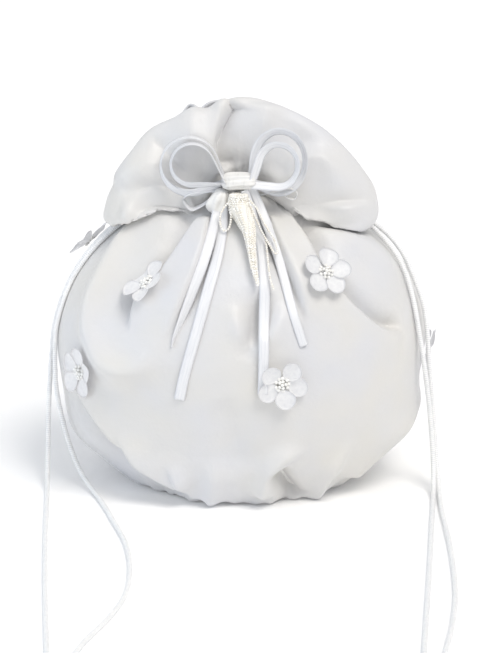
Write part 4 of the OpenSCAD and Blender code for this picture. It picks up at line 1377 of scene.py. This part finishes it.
def make_tassel():
    lo, hi = box_mm("tassel_cap")
    crown = np.array([(lo[0] + hi[0]) / 2, (lo[1] + hi[1]) / 2, hi[2]])
    top = [(*crown, 4.6), (crown[0], crown[1] - 0.3, crown[2] - 3, 5.6)]
    line = catmull(top + TASSEL_LINE[1:].tolist(), 5)
    core, spread = line[:, :3], line[:, 3]
    _, a, b = frames_along(core)
    centres = []
    strands = 34
    for k in range(strands):
        turn = k * 2.39996
        reach = math.sqrt((k + 0.6) / strands)
        twist = turn + np.linspace(0, 1.1, len(core)) + 0.15 * np.sin(np.linspace(0, 6, len(core)) + k)
        r = np.clip(spread - 0.7, 0.15, None) * reach
        path = core + a * (r * np.cos(twist))[:, None] + b * (r * np.sin(twist))[:, None]
        share = 0.62 + 0.38 * RNG.random() if k > 3 else 1.0
        centres.append(string_beads(path[: int(len(path) * share)], 1.3))
    # the bunched strings inside, which close the gaps between the outer strands
    inside = slice(0, len(core) - 8)
    thick = np.clip(spread[inside] - 1.2, 0.5, None)
    bunch = tube_piece("tassel_bunched_strings", core[inside], thick, 16, SEED_CORE)
    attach(bunch, "tassel")
    seed_beads("strands", np.concatenate(centres), 0.68)
    seed_beads("loop_left", string_beads(catmull(LEFT_LOOP + [LEFT_LOOP[0]], 5), 1.25), SEED_R)
    right = catmull(RIGHT_LOOP + [(4.2, -41.5, 156)], 5)
    beads = [string_beads(line, 1.2) for line in (right, catmull(HANGING_STRAND, 5))]
    seed_beads("loop_right", np.concatenate(beads), SEED_R)
    # the cap: rings of beads sewn round the top of the strands
    rings = []
    for k, z in enumerate(np.linspace(lo[2] + 1.2, hi[2] - 0.3, 5)):
        r = np.interp(z, [lo[2], hi[2]], [5.4, 4.2])
        count = int(2 * math.pi * r / 1.3)
        phi = np.linspace(0, 2 * np.pi, count, endpoint=False) + 0.3 * k
        ring = [crown[0] + r * np.cos(phi), crown[1] + r * np.sin(phi), 0 * phi + z]
        rings.append(np.stack(ring, axis=1))
    seed_beads("cap", np.concatenate(rings), 0.68)


make_tassel()


# ---------------------------------------------------------------- flowers
PETAL_R, PETAL_AT = 5.25, 8.2  # a petal's radius, and its middle's distance from the flower's


def petal(rng):
    """One cupped organza petal, pointing along +X: points, faces and what its material reads."""
    rings, cols = 7, 30
    r = np.linspace(0.08, 1, rings)
    phi = np.linspace(0, 2 * np.pi, cols, endpoint=False)
    rr, pp = np.meshgrid(r, phi, indexing="ij")
    uneven = 0.04 * np.sin(2 * pp + rng.uniform(0, 6)) + 0.025 * np.sin(3 * pp + rng.uniform(0, 6))
    wide = PETAL_R * (1 + uneven)
    x, y = wide * rr * np.cos(pp), wide * rr * np.sin(pp)
    y = y * (1 - 0.22 * smoothstep(-x, 0, 5.2))
    x = x + PETAL_AT
    reach = np.clip(x / 13.5, 0, 1)
    curl = rng.uniform(0.5, 1.4)
    z = 0.4 + 1.6 * reach + curl * 1.1 * (np.abs(y) / PETAL_R) ** 2
    z = z - 1.6 * reach**3 * rng.uniform(0.0, 1.0)
    z = z + 0.35 * rng.uniform(-1, 1) * np.sin(y * 0.8 + rng.uniform(0, 3)) * reach
    z = z + 0.5 * smoothstep(rr, 0.8, 1.0) * rng.uniform(0.5, 1.3)
    grid = np.stack([x, y, z], axis=2)
    n = grid_normals(grid, wrap=True)
    n = -n if n[..., 2].mean() < 0 else n
    top, low = grid + n * 0.09, grid - n * 0.09
    points = np.concatenate([top.reshape(-1, 3), low.reshape(-1, 3)])
    m = rings * cols
    faces = [f[::-1] for f in grid_faces(rings, cols, True)] + grid_faces(rings, cols, True, False, m)
    faces += rim_faces(m - cols, cols, m)
    faces += [tuple(range(cols)), tuple(m + k for k in range(cols))[::-1]]
    data = np.stack([x.ravel(), y.ravel(), rr.ravel()], axis=1)
    return points, faces, np.concatenate([data, data])


def make_flower(name, turn):
    rng = np.random.default_rng(sum(map(ord, name)))
    lo, hi = box_mm(f"petals_{name}")
    place, out, _, _ = BODY_TREE.find_nearest(Vector((lo + hi) / 2))
    place, out = np.array(place), unit(np.array(out))
    rise = (place[2] - BELLY_Z) / (NECK_Z - BELLY_Z) ** 2
    plain = unit(np.array([place[0] / BELLY_RX**2, place[1] / BELLY_RY**2, rise]))
    out = out if out @ plain > 0 else -out
    out = unit(out * 0.35 + plain * 0.65)
    side = unit(np.cross([0, 0, 1.0], out))
    up = np.cross(out, side)
    base = np.stack([side, up, out], axis=1)
    points, faces, data, start = [], [], [], 0
    for k in range(5):
        p, f, d = petal(rng)
        a = math.radians(turn + 72 * k + rng.uniform(-7, 7))
        tilt = math.radians(rng.uniform(-2, 13))
        lift = 0.28 * (k % 2)
        spin = np.array([[math.cos(a), -math.sin(a), 0], [math.sin(a), math.cos(a), 0], [0, 0, 1]])
        ct, st = math.cos(tilt), math.sin(tilt)
        lean = np.array([[ct, 0, -st], [0, 1, 0], [st, 0, ct]])
        p = (p @ lean.T) @ spin.T + [0, 0, lift]
        points.append(place + (p + [0, 0, 0.3]) @ base.T)
        faces += [tuple(start + i for i in g) for g in f]
        start += len(p)
        data.append(d)
    data = {"petal": np.concatenate(data)}
    o = mesh_piece(f"flower_petals_{name}", np.concatenate(points), faces, ORGANZA, data)
    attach(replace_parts(o, f"petals_{name}"), "root")
    centres = []
    for count, r, h in ((1, 0, 3.0), (5, 1.75, 2.7), (9, 3.3, 2.1)):
        for k in range(count):
            a = 2 * math.pi * k / count + rng.uniform(-0.2, 0.2)
            centres.append([r * math.cos(a), r * math.sin(a), h + rng.uniform(-0.15, 0.25)])
    centres = place + np.array(centres) @ base.T
    node = f"beads_{name}"
    bead_piece(f"flower_{node}", node, centres, 0.98, FLOWER_BEAD, "root", 1.0)


FLOWER_TURNS = {
    "upper_left": 20, "upper_right": 0, "lower_left": 12, "lower_centre": 60, "left_shoulder": 20,
    "right_side": 30, "back_upper_right": 10, "back_centre": 50, "back_lower_right": 30, "back_lower_left": 70,
}
for flower_name, flower_turn in FLOWER_TURNS.items():
    make_flower(flower_name, flower_turn)

# ---------------------------------------------------------------- the back panel and the lining, cloth that bends at the neck, get their placement baked into their points
for bending in (BODY["back"], LINING_PIECE):
    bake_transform(bending)


# ---------------------------------------------------------------- stage and light
SKY_LOW, SKY_HIGH = 0.50, 0.76  # the sky's strength at the horizon and high up


def add_light(name, kind, energy, color, at, way):
    light = bpy.data.lights.new(name, kind)
    light.energy, light.color = energy, color
    o = bpy.data.objects.new(name, light)
    o.location = at
    o.rotation_euler = Vector(way).to_track_quat("-Z", "Y").to_euler()
    bpy.context.scene.collection.objects.link(o)
    return light


def make_stage():
    mesh = bpy.data.meshes.new("floor")
    mesh.from_pydata([(-6, -4, 0), (6, -4, 0), (6, 9, 0), (-6, 9, 0)], [], [(0, 1, 2, 3)])
    floor = bpy.data.objects.new("floor", mesh)
    floor.location = (0, 0, -0.0001)
    mesh.materials.append(floor_finish())
    bpy.context.scene.collection.objects.link(floor)
    world = bpy.data.worlds.new("studio")
    world.use_nodes = True
    tree = world.node_tree
    sky = tree.nodes["Background"]
    sky.inputs["Color"].default_value = (0.95, 0.97, 1.0, 1)
    # brighter overhead than at the horizon, like a large soft box above a table
    height = tree.nodes.new("ShaderNodeSeparateXYZ")
    tree.links.new(tree.nodes.new("ShaderNodeTexCoord").outputs["Generated"], height.inputs[0])
    rise = tree.nodes.new("ShaderNodeMapRange")
    tree.links.new(height.outputs["Z"], rise.inputs["Value"])
    for key, value in (("From Min", 0.0), ("From Max", 0.8), ("To Min", SKY_LOW), ("To Max", SKY_HIGH)):
        rise.inputs[key].default_value = value
    tree.links.new(rise.outputs[0], sky.inputs["Strength"])
    bpy.context.scene.world = world
    top = add_light("top", "SUN", 1.65, (1.0, 0.955, 0.895), (0, 0, 0), (-0.42, 0.56, -1.05))
    top.angle = math.radians(28)
    at = Vector((-0.9, -0.4, 0.3))
    fill = add_light("left_fill", "AREA", 1.9, (0.68, 0.82, 1.0), at, Vector((0, 0, 0.1)) - at)
    fill.shape, fill.size = "DISK", 0.7
    bpy.context.scene.view_settings.view_transform = "Standard"


make_stage()
